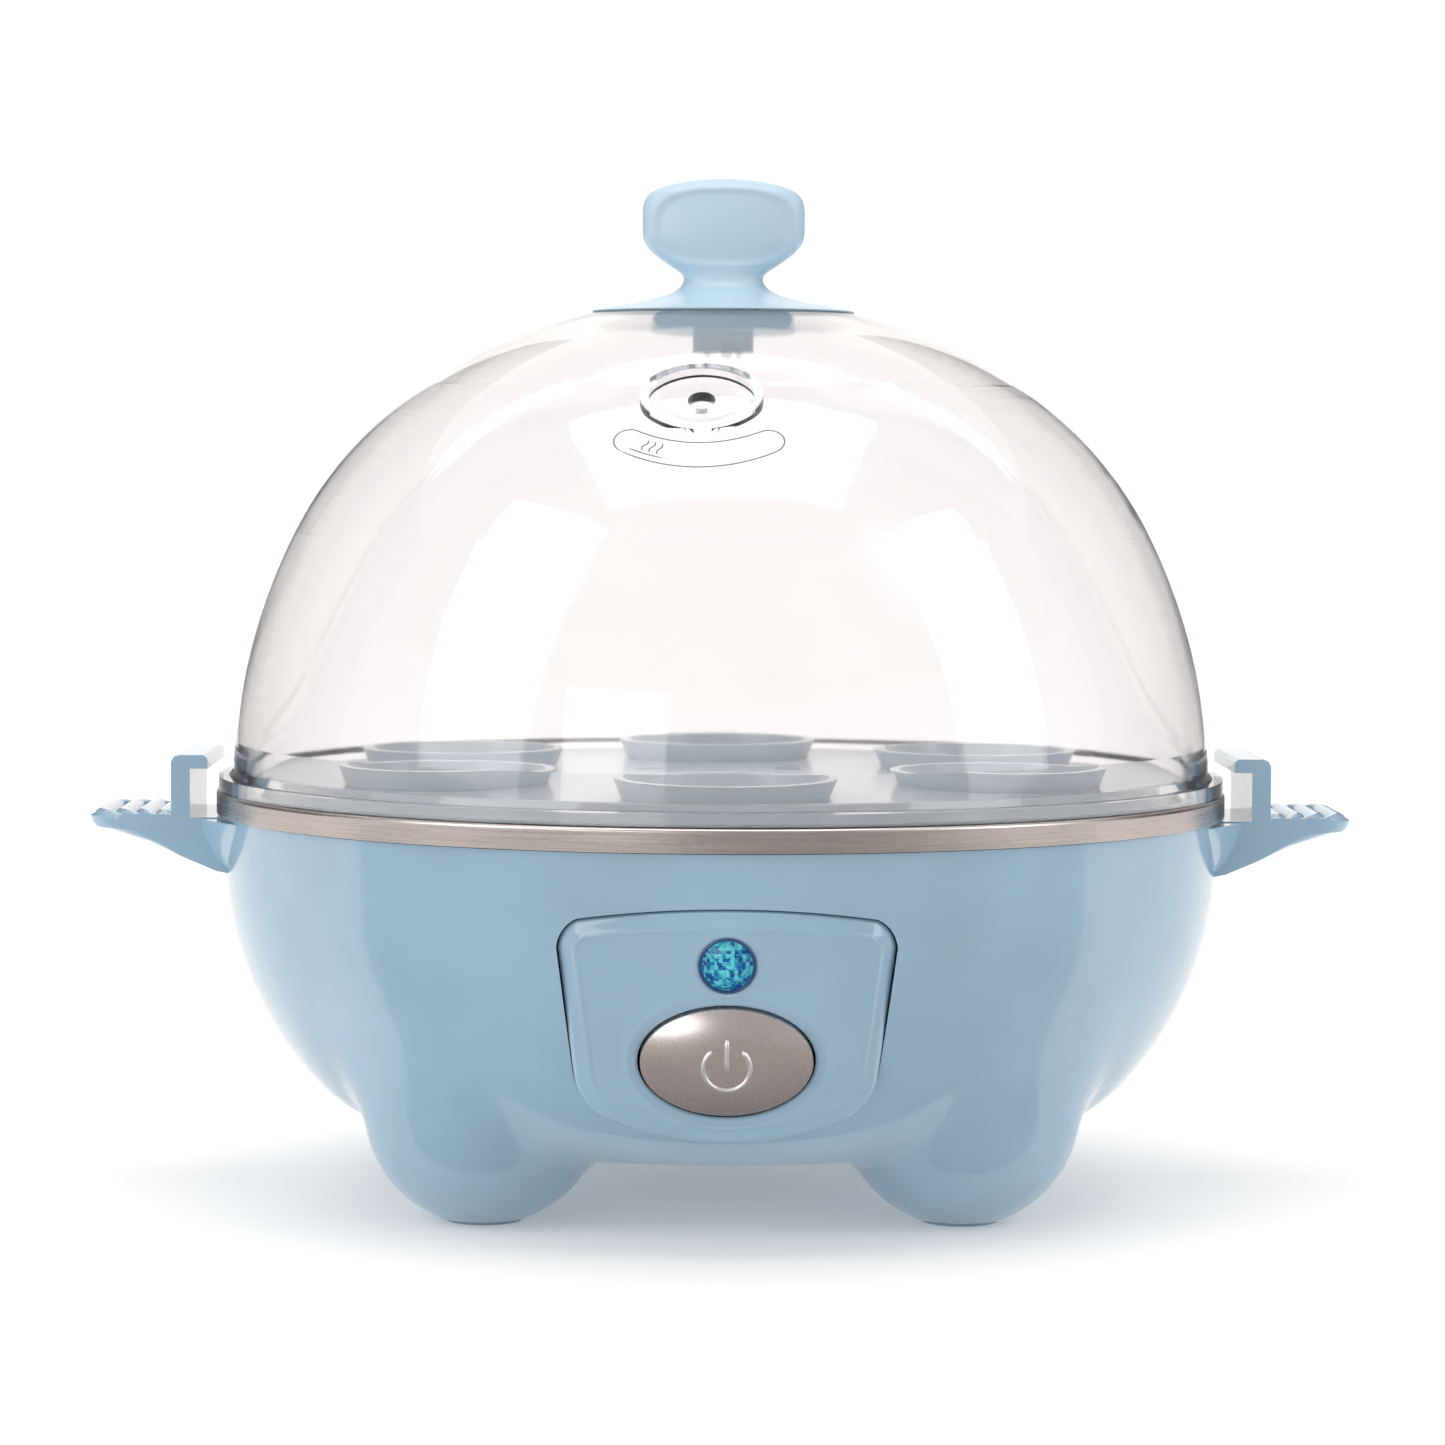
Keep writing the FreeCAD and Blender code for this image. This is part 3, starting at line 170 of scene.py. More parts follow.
def plated_metal(name, colour, roughness, scale=2.0):
    """Plated metal: fine marks that vary its tone, its roughness and its surface."""
    material, tree, shader = new_material(name)
    marks = noise(tree, object_coordinates(tree), scale, 5, 0.7)
    stops = [(0.3, tuple(0.82 * c for c in colour)), (0.7, tuple(min(1.12 * c, 1) for c in colour))]
    tree.links.new(ramp(tree, marks, stops), shader.inputs["Base Color"])
    tree.links.new(span(tree, marks, roughness * 0.7, roughness * 1.4), shader.inputs["Roughness"])
    bump(tree, shader, marks, 0.25, 0.03)
    shader.inputs["Metallic"].default_value = 1.0
    return material


def satin_metal(name, colour, roughness=0.36):
    """Satin plating: a very fine blasted grain over a faint slow drift."""
    material, tree, shader = new_material(name)
    where = object_coordinates(tree)
    stops = [(0.3, tuple(0.95 * c for c in colour)), (0.7, tuple(min(1.05 * c, 1) for c in colour))]
    tree.links.new(ramp(tree, noise(tree, where, 0.12, 2), stops), shader.inputs["Base Color"])
    grain = noise(tree, where, 7.0, 4, 0.6)
    tree.links.new(span(tree, grain, roughness * 0.85, roughness * 1.2), shader.inputs["Roughness"])
    bump(tree, shader, grain, 0.12, 0.02)
    shader.inputs["Metallic"].default_value = 1.0
    return material


# a Mix node's sockets for colours, which share their names with its other sockets
MIX_FACTOR, MIX_FIRST, MIX_SECOND, MIX_RESULT = 0, 6, 7, 2


def ring_brushed_metal(name, colour, bright, edge, roughness=0.26):
    """Steel spun on a lathe: fine rings with softer streaks, bright inside the radius edge."""
    material, tree, shader = new_material(name)
    source = tree.nodes.new("ShaderNodeTexCoord")
    split = tree.nodes.new("ShaderNodeSeparateXYZ")
    tree.links.new(source.outputs["Object"], split.inputs["Vector"])
    plane = tree.nodes.new("ShaderNodeCombineXYZ")
    tree.links.new(split.outputs["X"], plane.inputs["X"])
    tree.links.new(split.outputs["Y"], plane.inputs["Y"])
    reach = tree.nodes.new("ShaderNodeVectorMath")
    reach.operation = "LENGTH"
    tree.links.new(plane.outputs["Vector"], reach.inputs[0])
    turn = tree.nodes.new("ShaderNodeMath")
    turn.operation = "ARCTAN2"
    tree.links.new(split.outputs["Y"], turn.inputs[0])
    tree.links.new(split.outputs["X"], turn.inputs[1])
    polar = tree.nodes.new("ShaderNodeCombineXYZ")
    tree.links.new(reach.outputs["Value"], polar.inputs["X"])
    tree.links.new(split.outputs["Z"], polar.inputs["Y"])
    tree.links.new(turn.outputs["Value"], polar.inputs["Z"])
    stretch = tree.nodes.new("ShaderNodeMapping")
    stretch.inputs["Scale"].default_value = (3500, 3500, 5)
    tree.links.new(polar.outputs["Vector"], stretch.inputs["Vector"])
    marks = noise(tree, stretch.outputs["Vector"], 1.0, 4, 0.65)
    blend = tree.nodes.new("ShaderNodeMix")
    blend.data_type = "RGBA"
    for tone, socket in ((bright, MIX_FIRST), (colour, MIX_SECOND)):
        stops = [(0.3, tuple(0.88 * c for c in tone)), (0.7, tuple(min(1.1 * c, 1) for c in tone))]
        tree.links.new(ramp(tree, marks, stops), blend.inputs[socket])
    outside = tree.nodes.new("ShaderNodeMapRange")
    outside.inputs["From Min"].default_value = (edge - 0.2) * MM
    outside.inputs["From Max"].default_value = edge * MM
    tree.links.new(reach.outputs["Value"], outside.inputs["Value"])
    tree.links.new(outside.outputs["Result"], blend.inputs[MIX_FACTOR])
    tree.links.new(blend.outputs[MIX_RESULT], shader.inputs["Base Color"])
    tree.links.new(span(tree, marks, roughness * 0.7, roughness * 1.5), shader.inputs["Roughness"])
    bump(tree, shader, marks, 0.2, 0.03)
    shader.inputs["Metallic"].default_value = 1.0
    return material


def painted_glint_core(name):
    """Prismatic reflector behind the lens: each facet gets a random tone from deep blue up to bright
    cyan, whose bright end is a painted glint, and the same tone is emitted as a painted glow.
    """
    material, tree, shader = new_material(name)
    where = object_coordinates(tree)
    cells = tree.nodes.new("ShaderNodeTexVoronoi")
    cells.inputs["Scale"].default_value = 1.9
    cells.inputs["Randomness"].default_value = 0.35
    tree.links.new(where, cells.inputs["Vector"])
    sparkle = tree.nodes.new("ShaderNodeRGBToBW")
    tree.links.new(cells.outputs["Color"], sparkle.inputs["Color"])
    # painted glints: the cells' tones run up to bright cyan to stand in for light sparkling off the
    # facets
    stops = [(0.25, (0.01, 0.12, 0.42)), (0.45, (0.025, 0.40, 0.55)), (0.65, (0.35, 0.8, 0.78))]
    facets = ramp(tree, sparkle.outputs["Val"], stops)
    tree.links.new(facets, shader.inputs["Base Color"])
    # painted glow: the facets' tone is also emitted, though the core is no lamp
    tree.links.new(facets, shader.inputs["Emission Color"])
    shader.inputs["Emission Strength"].default_value = 0.22
    tree.links.new(span(tree, noise(tree, where, 3.0), 0.08, 0.2), shader.inputs["Roughness"])
    shader.inputs["Metallic"].default_value = 0.35
    return material


BLUE = (0.29, 0.435, 0.56)
MATERIALS = {
    "body": moulded_plastic("body_blue", BLUE),
    "knob": moulded_plastic("knob_blue", (0.48, 0.64, 0.76), 0.3, 0.1),
    "lid": clear_plastic("lid_clear", (0.99, 0.975, 0.98), 0.02, 1.49, 0.985),
    "tray": clear_plastic("tray_clear", (0.86, 0.94, 1.0), 0.08, 1.49, 0.22),
    "steel": ring_brushed_metal("band_steel", (0.66, 0.59, 0.56), (0.86, 0.9, 0.93), 77.6),
    "nickel": satin_metal("button_nickel", (0.86, 0.78, 0.75), 0.27),
    # painted highlight: a lighter copy of the button's nickel, so the raised power symbol reads
    # bright
    "symbol": satin_metal("symbol_nickel_painted_highlight", (0.98, 0.94, 0.92), 0.5),
    "zinc": plated_metal("zinc_plate", (0.6, 0.61, 0.62), 0.35),
    "screw": plated_metal("screw_plating", (0.66, 0.66, 0.67), 0.3, 4.0),
    "rubber": rough_plastic("pad_rubber", (0.25, 0.36, 0.46), 0.7),
    "cover": rough_plastic("cover_plastic", (0.26, 0.41, 0.55), 0.45),
    "black": rough_plastic("black_plastic", (0.02, 0.02, 0.02), 0.45),
    "white": rough_plastic("white_plastic", (0.7, 0.7, 0.68), 0.5),
    "lens": clear_plastic("lens_blue", (0.42, 0.86, 0.98), 0.03),
    # lens core: random facet tones with painted glints and a painted glow
    "core": painted_glint_core("lens_core_painted_glints"),
    # painted shade: near-black plastic for the ring that stands in for the shaded gap round the lens
    "rim": moulded_plastic("lens_rim", (0.02, 0.05, 0.16), 0.12, 0.6),
    "ink": rough_plastic("vent_ink", (0.22, 0.2, 0.2), 0.6),
    "card": rough_plastic("card_grey", (0.16, 0.145, 0.145), 0.8),
    "card_floor": rough_plastic("card_pale_grey", (0.28, 0.26, 0.25), 0.8),
    "glass": clear_plastic("lamp_glass", (0.95, 0.85, 0.8), 0.03, 1.45),
}
FINISHES = {
    "base_housing": "body", "handle_left": "body", "handle_right": "body",
    "control_panel": "body", "knob": "knob", "knob_washer": "knob", "lid_dome": "lid",
    "egg_tray": "tray", "heating_plate": "steel", "power_button": "nickel",
    "indicator_lens": "lens", "indicator_lamp": "glass", "foot_pads": "rubber",
    "plate_gasket": "rubber", "bottom_cover": "cover", "cord_gland": "black",
    "switch_plunger": "black", "push_switch": "black", "thermostat": "black",
    "thermal_fuse": "white", "terminal_block": "white", "wires": "white",
    "cover_screws": "screw", "plate_screws": "screw", "stud_nuts": "screw",
    "plate_studs": "screw", "terminal_screws": "screw", "knob_screw": "screw",
    "heating_element": "zinc", "clamp_bar": "zinc", "plate_pillars": "zinc",
    "switch_bracket": "zinc",
}
for node, finish in FINISHES.items():
    slots = NODES[node].data.materials
    slots.clear()
    slots.append(MATERIALS[finish])


# ---------------------------------------------------------------- shared mesh helpers

SHARP = math.radians(38)


def new_object(name, verts, faces):
    """A mesh object from vertices in millimetres."""
    mesh = bpy.data.meshes.new(name)
    mesh.from_pydata([(x * MM, y * MM, z * MM) for x, y, z in verts], [], faces)
    mesh.validate()
    shape = bpy.data.objects.new(name, mesh)
    bpy.context.scene.collection.objects.link(shape)
    return shape


def turn_outwards(mesh):
    """Turns a closed mesh's faces outwards."""
    work = bmesh.new()
    work.from_mesh(mesh)
    bmesh.ops.recalc_face_normals(work, faces=work.faces)
    work.to_mesh(mesh)
    work.free()


def new_piece(name, verts, faces, material, body, smooth=True, closed=True):
    """A visible mesh piece, riding on a CAD body, smooth except at sharp edges."""
    piece = new_object(name, verts, faces)
    if closed:
        turn_outwards(piece.data)
    piece.data.polygons.foreach_set("use_smooth", [smooth] * len(piece.data.polygons))
    if smooth:
        piece.data.set_sharp_from_angle(angle=SHARP)
    piece.data.materials.append(MATERIALS[material])
    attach(piece, body)
    return piece


def cut_away(piece, tools):
    """Applies the piece's modifiers and takes closed tool shapes out of it."""
    for tool in tools:
        turn_outwards(tool.data)
        cut = piece.modifiers.new("cut", "BOOLEAN")
        cut.operation = "DIFFERENCE"
        cut.solver = "MANIFOLD"
        cut.object = tool
    graph = bpy.context.evaluated_depsgraph_get()
    mesh = bpy.data.meshes.new_from_object(piece.evaluated_get(graph))
    piece.modifiers.clear()
    piece.data = mesh
    mesh.polygons.foreach_set("use_smooth", [True] * len(mesh.polygons))
    mesh.set_sharp_from_angle(angle=SHARP)
    for tool in tools:
        bpy.data.objects.remove(tool)


def bevel(piece, width, segments=3):
    """Rounds a piece's true edges."""
    edge = piece.modifiers.new("edge", "BEVEL")
    edge.width = width * MM
    edge.segments = segments
    edge.limit_method = "ANGLE"
    edge.angle_limit = SHARP
    edge.harden_normals = True


def rod_tool(centre, direction, radius, near, far, count=48):
    """A closed cylinder from near to far along direction, for cutting."""
    turn = Vector((0, 0, 1)).rotation_difference(Vector(direction)).to_matrix()
    verts = []
    for reach in (near, far):
        for i in range(count):
            angle = 2 * math.pi * i / count
            local = Vector((radius * math.cos(angle), radius * math.sin(angle), reach))
            verts.append(Vector(centre) + turn @ local)
    faces = [(i, (i + 1) % count, count + (i + 1) % count, count + i) for i in range(count)]
    faces += [tuple(range(count)), tuple(range(count, 2 * count))]
    return new_object("tool", verts, faces)


def prism_tool(loop, front, back):
    """A closed prism along Y from an (x, z) loop, for cutting."""
    count = len(loop)
    verts = [(x, front, z) for x, z in loop] + [(x, back, z) for x, z in loop]
    faces = [(i, (i + 1) % count, count + (i + 1) % count, count + i) for i in range(count)]
    faces += [tuple(range(count)), tuple(range(count, 2 * count))]
    return new_object("tool", verts, faces)


def arc_points(centre, radius, first, last, steps):
    """Points on an arc in the (r, z) plane; angles in degrees."""
    points = []
    for step in range(steps + 1):
        angle = math.radians(first + (last - first) * step / steps)
        points.append((centre[0] + radius * math.cos(angle), centre[1] + radius * math.sin(angle)))
    return points


def lathe(name, profile, material, body, count=192, closed=True, place=Matrix()):
    """Turns an (r, z) profile round Z; a point on the axis becomes one vertex."""
    verts, rings = [], []
    for r, z in profile:
        if r < 1e-6:
            rings.append([len(verts)] * count)
            verts.append(place @ Vector((0, 0, z)))
            continue
        start = len(verts)
        for i in range(count):
            angle = 2 * math.pi * i / count
            verts.append(place @ Vector((r * math.cos(angle), r * math.sin(angle), z)))
        rings.append(list(range(start, start + count)))
    faces = []
    pairs = list(zip(rings, rings[1:]))
    if closed:
        pairs.append((rings[-1], rings[0]))
    for lower, upper in pairs:
        for i in range(count):
            j = (i + 1) % count
            corners = dict.fromkeys((lower[i], lower[j], upper[j], upper[i]))
            if len(corners) > 2:
                faces.append(tuple(corners))
    return new_piece(name, verts, faces, material, body)


def smooth_min(a, b, blend):
    """The smaller of two distances, rounded where they are close to equal."""
    near = max(blend - abs(a - b), 0) / blend
    return min(a, b) - near * near * blend / 4


def round_cone(point, foot, head, foot_radius, head_radius):
    """Signed distance to the hull of two spheres whose centres stand one above the other."""
    across = math.hypot(point[0] - foot[0], point[1] - foot[1])
    along = point[2] - foot[2]
    height = head[2] - foot[2]
    lean = (head_radius - foot_radius) / height
    flank = math.sqrt(1 - lean * lean)
    side = lean * across + flank * along
    if side < 0:
        return math.hypot(across, along) - foot_radius
    if side > flank * height:
        return math.hypot(across, along - height) - head_radius
    return across * flank - along * lean - foot_radius


# ---------------------------------------------------------------- base shell

BOWL_TOP = 58.6
BOWL_RADIUS = 77.8
BOWL_WAIST = 47.5
BOWL_DRAFT = math.radians(4.9)
SIDE_ARC, LOWER_ARC, ARC_SPLIT = 50.0, 24.0, math.radians(43)
WALL = 2.2
SIDE_CENTRE = (BOWL_RADIUS - (BOWL_TOP - BOWL_WAIST) * math.tan(BOWL_DRAFT)
               - SIDE_ARC * math.cos(BOWL_DRAFT),
               BOWL_WAIST + SIDE_ARC * math.sin(BOWL_DRAFT))
LOWER_CENTRE = (SIDE_CENTRE[0] + (SIDE_ARC - LOWER_ARC) * math.cos(ARC_SPLIT),
                SIDE_CENTRE[1] - (SIDE_ARC - LOWER_ARC) * math.sin(ARC_SPLIT))
UNDERSIDE = LOWER_CENTRE[1] - LOWER_ARC
LEG_CIRCLE = 50.2
LEG_BALL, LEG_BALL_LEVEL = 18.0, 17.25
LEG_HEAD, LEG_HEAD_LEVEL = 24.0, 43.0
LEG_BLEND = 3.6
LEG_BOTTOM = 0.5
GLAND_HOLE, SINK_RADIUS, PAD_RADIUS = 5.6, 3.0, 6.2


def bowl_distance(reach, z):
    """Signed distance in millimetres from the bowl's outside, without its legs."""
    if z > BOWL_WAIST and reach > SIDE_CENTRE[0]:
        lean = (reach - BOWL_RADIUS) * math.cos(BOWL_DRAFT)
        return lean + (BOWL_TOP - z) * math.sin(BOWL_DRAFT)
    below = math.atan2(SIDE_CENTRE[1] - z, reach - SIDE_CENTRE[0])
    if below < ARC_SPLIT:
        return math.hypot(reach - SIDE_CENTRE[0], z - SIDE_CENTRE[1]) - SIDE_ARC
    if reach > LOWER_CENTRE[0]:
        return math.hypot(reach - LOWER_CENTRE[0], z - LOWER_CENTRE[1]) - LOWER_ARC
    return UNDERSIDE - z


def shell_distance(x, y, z):
    """The bowl with one leg, folded into the first quarter, softly joined."""
    axis = LEG_CIRCLE * math.sqrt(0.5)
    leg = round_cone((abs(x), abs(y), z), (axis, axis, LEG_BALL_LEVEL),
                     (axis, axis, LEG_HEAD_LEVEL), LEG_BALL, LEG_HEAD)
    both = smooth_min(bowl_distance(math.hypot(x, y), z), leg, LEG_BLEND)
    return max(both, LEG_BOTTOM - z)


def shell_point(azimuth, fall):
    """Where a ray from the rim's centre, falling below level, leaves the shell."""
    across, down = math.cos(fall), -math.sin(fall)
    step = (math.cos(azimuth) * across, math.sin(azimuth) * across, down)
    near, far = 30.0, 95.0
    for _ in range(22):
        reach = (near + far) / 2
        where = (step[0] * reach, step[1] * reach, BOWL_TOP + step[2] * reach)
        if shell_distance(*where) < 0:
            near = reach
        else:
            far = reach
    return where


def make_base_shell():
    """Bowl and legs as one soft moulding, thickened inwards, open for the bottom cover."""
    turns, falls = 256, 170
    opening = high("bottom_cover").x + 0.2
    last = math.atan2(BOWL_TOP - UNDERSIDE, opening)
    verts, faces = [], []
    for row in range(falls + 1):
        fall = last * row / falls
        for turn in range(turns):
            verts.append(shell_point(2 * math.pi * (turn + 0.5) / turns, fall))
    inner_top = high("bottom_cover").z
    for level in (UNDERSIDE + 0.3, inner_top):
        for turn in range(turns):
            angle = 2 * math.pi * (turn + 0.5) / turns
            verts.append((opening * math.cos(angle), opening * math.sin(angle), level))
    for row in range(falls + 2):
        for turn in range(turns):
            ahead = (turn + 1) % turns
            here, below = row * turns, (row + 1) * turns
            faces.append((here + turn, below + turn, below + ahead, here + ahead))
    shell = new_piece("base_shell", verts, faces, "body", "base", closed=False)
    thickness = shell.modifiers.new("wall", "SOLIDIFY")
    thickness.thickness = WALL * MM
    thickness.offset = -1
    cut_away(shell, shell_cuts())
    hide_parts("base_housing")


def shell_cuts():
    """Tools for the panel's opening, cord hole, screw sinks and pad recesses."""
    tools = [prism_tool(grown(panel_loop(), PANEL_SEAM), -95.0, -54.0)]
    gland = (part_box("cord_gland")[0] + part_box("cord_gland")[1]) / 2 / MM
    drop = math.asin((SIDE_CENTRE[1] - gland.z) / SIDE_ARC)
    tools.append(rod_tool(gland, (0, math.cos(drop), -math.sin(drop)), GLAND_HOLE, -12, 12))
    sink = high("plate_screws").x - SINK_RADIUS
    for turn in range(4):
        angle = math.pi / 2 * turn
        centre = (sink * math.cos(angle), sink * math.sin(angle), 0)
        tools.append(rod_tool(centre, (0, 0, 1), SINK_RADIUS + 0.2, 0, UNDERSIDE + WALL + 1))
        angle += math.pi / 4
        centre = (LEG_CIRCLE * math.cos(angle), LEG_CIRCLE * math.sin(angle), 0)
        tools.append(rod_tool(centre, (0, 0, 1), PAD_RADIUS, 0, high("foot_pads").z))
    return tools


# ---------------------------------------------------------------- control panel

FACE_RADIUS, FACE_LEVEL, FACE_LEAN = 78.3, 50.0, math.radians(11.6)
PANEL_CORNERS = [(15.5, 19.8, 7.6), (21.6, 26.5, 0), (23.9, 45.0, 5.0), (21.2, 49.0, 133.0),
                 (-21.2, 49.0, 5.0), (-23.9, 45.0, 0), (-21.6, 26.5, 7.6), (-15.5, 19.8, 43.6)]
PANEL_SEAM = 0.17
BEVEL_WIDTH, BEVEL_DROP = 2.3, 1.5
# raised lips: distance from the outline, half width, height
BORDER_LIP, BUTTON_LIP, LENS_LIP = (2.5, 0.32, 0.16), (1.5, 0.55, 0.22), (0.9, 0.4, 0.10)
EDGE_ROUND, EDGE_DROP = 0.5, 0.35
BUTTON_LEVEL, BUTTON_LONG, BUTTON_SHORT, BUTTON_GAP = 29.0, 12.2, 7.9, 0.4
LENS_LEVEL, LENS_HOLE = 42.9, 3.75
PANEL_DEPTH = 4.5


def face_radius(z):
    """The radius of the panel's leaning cone at a level."""
    return FACE_RADIUS - (FACE_LEVEL - z) * math.tan(FACE_LEAN)


def face_place(level):
    """On the panel's face at the front: local Z outwards, local Y up the face."""
    lean = Matrix.Rotation(math.pi / 2 + FACE_LEAN, 4, "X")
    return Matrix.Translation((0, -face_radius(level), level)) @ lean


def panel_loop(spacing=0.6):
    """The shield outline in (x, z), as evenly spaced points."""
    points = []
    for i, (x, z, radius) in enumerate(PANEL_CORNERS):
        start, end = Vector((x, z)), Vector(PANEL_CORNERS[(i + 1) % len(PANEL_CORNERS)][:2])
        half = (end - start) / 2
        steps = max(round(2 * half.length / spacing), 2)
        if not radius:
            points += [start.lerp(end, step / steps) for step in range(steps)]
            continue
        inwards = Vector((-half.y, half.x)).normalized()
        centre = (start + end) / 2 + inwards * math.sqrt(radius ** 2 - half.length ** 2)
        first = math.atan2(start.y - centre.y, start.x - centre.x)
        sweep = 2 * math.asin(half.length / radius)
        for step in range(steps):
            angle = first + sweep * step / steps
            points.append(centre + radius * Vector((math.cos(angle), math.sin(angle))))
    return points


def grown(loop, distance):
    """The loop moved outwards along its own normals."""
    moved = []
    for i, point in enumerate(loop):
        along = loop[(i + 1) % len(loop)] - loop[i - 1]
        moved.append(point + Vector((along.y, -along.x)).normalized() * distance)
    return moved


def ellipse_loop(level, half_long, half_short, count):
    """An oval on the leaning face, as its (x, z) outline seen from the front."""
    loop = []
    for i in range(count):
        angle = 2 * math.pi * i / count
        loop.append(Vector((half_long * math.cos(angle),
                            level + half_short * math.sin(angle) * math.cos(FACE_LEAN))))
    return loop


def tree_of(loop):
    """A nearest-point finder over the closed loop."""
    tree = kdtree.KDTree(len(loop))
    for i, point in enumerate(loop):
        tree.insert((*point, 0), i)
    tree.balance()
    return tree


def inside(point, loop):
    """Whether an (x, z) point lies within the closed loop."""
    hit = False
    for here, there in zip(loop, loop[1:] + loop[:1]):
        if (here.y > point[1]) != (there.y > point[1]):
            reach = here.x + (point[1] - here.y) * (there.x - here.x) / (there.y - here.y)
            hit ^= point[0] < reach
    return hit


def panel_drop(edge, button, lens):
    """How far the face lies behind its cone, from the distances to its three outlines."""
    drop = BEVEL_DROP * max(1 - edge / BEVEL_WIDTH, 0)
    for gap, (middle, half, rise) in ((edge, BORDER_LIP), (button, BUTTON_LIP), (lens, LENS_LIP)):
        drop += EDGE_DROP * max(1 - gap / EDGE_ROUND, 0) ** 2
        drop -= rise * math.exp(-((gap - middle) / half) ** 2)
    return drop


def make_panel():
    """Shield bezel: a bevelled border round a leaning face with two openings."""
    border = panel_loop()
    button = ellipse_loop(BUTTON_LEVEL, BUTTON_LONG + BUTTON_GAP, BUTTON_SHORT + BUTTON_GAP, 120)
    lens = ellipse_loop(LENS_LEVEL, LENS_HOLE, LENS_HOLE, 60)
    trees = [tree_of(loop) for loop in (border, button, lens)]
    points, edges = [], []

    def add_loop(loop, constrained):
        start = len(points)
        points.extend(loop)
        if constrained:
            edges.extend((start + i, start + (i + 1) % len(loop)) for i in range(len(loop)))

    for inset in (0, 0.12, 0.28, 0.5, 1.1, 1.7, 2.05, 2.3, 2.5, 2.7, 2.95, 3.3):
        add_loop(grown(border, -inset), True)
    for loop in (button, lens):
        for outset in (0, 0.12, 0.28, 0.5, 0.8, 1.15, 1.5, 1.85, 2.2):
            add_loop(grown(loop, outset), outset == 0)
    half_span, lowest, highest, spacing = 24, 16, 51, 0.9
    clear_of_border, clear_of_opening = 3.7, 2.6
    for column in range(-round(half_span / spacing), round(half_span / spacing) + 1):
        for row in range(round(lowest / spacing), round(highest / spacing) + 1):
            point = Vector((column * spacing, row * spacing))
            gaps = [tree.find((*point, 0))[2] for tree in trees]
            clear = gaps[0] > clear_of_border and min(gaps[1:]) > clear_of_opening
            if clear and inside(point, border) and not (inside(point, button) or inside(point, lens)):
                points.append(point)
    flat, _, triangles, *_ = geometry.delaunay_2d_cdt(points, edges, [], 0, 1e-5)
    verts = []
    for x, z in flat:
        edge, to_button, to_lens = (tree.find((x, z, 0))[2] for tree in trees)
        reach = face_radius(z) - panel_drop(edge, to_button, to_lens)
        verts.append((x, -math.sqrt(reach ** 2 - x ** 2), z))
    faces = []
    for corners in triangles:
        middle = sum((flat[i] for i in corners), Vector((0, 0))) / 3
        if inside(middle, border) and not (inside(middle, button) or inside(middle, lens)):
            faces.append(tuple(corners))
    bezel = new_piece("panel_bezel", verts, faces, "body", "base", closed=False)
    thicken_panel(bezel)
    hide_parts("control_panel")


def thicken_panel(bezel):
    """Turns the face outwards and carries every open edge straight back into the bowl."""
    work = bmesh.new()
    work.from_mesh(bezel.data)
    loose = [vertex for vertex in work.verts if not vertex.link_faces]
    bmesh.ops.delete(work, geom=loose, context="VERTS")
    bmesh.ops.recalc_face_normals(work, faces=work.faces)
    if sum(face.normal.y for face in work.faces) > 0:
        bmesh.ops.reverse_faces(work, faces=work.faces)
    rim = [edge for edge in work.edges if edge.is_boundary]
    wall = bmesh.ops.extrude_edge_only(work, edges=rim)
    for item in wall["geom"]:
        if isinstance(item, bmesh.types.BMVert):
            item.co.y += PANEL_DEPTH * MM
    work.to_mesh(bezel.data)
    work.free()
    bezel.data.polygons.foreach_set("use_smooth", [True] * len(bezel.data.polygons))
    bezel.data.set_sharp_from_angle(angle=SHARP)


# ---------------------------------------------------------------- button and lens

CAP_CROWN, CAP_EDGE = 2.3, 0.35
SKIRT_LEVELS = (0.1, -3.6, -4.8)
SYMBOL_RADIUS, SYMBOL_GAP, SYMBOL_HALF, SYMBOL_RISE = 3.3, math.radians(40), 0.36, 0.36
LENS_ARC, LENS_ARC_CENTRE, LENS_ARC_END, LENS_BACK = 6.1, -5.0, 53.8, -1.6
# tube radius of the near-black ring of painted shade round the lens
GAP_SHADE_TUBE = 0.22


def button_height(x, y):
    """The cap's domed top above the panel's face."""
    q = (x / BUTTON_LONG) ** 2 + (y / BUTTON_SHORT) ** 2
    return CAP_EDGE + (CAP_CROWN - CAP_EDGE) * (1 - min(q, 1) ** 1.25)


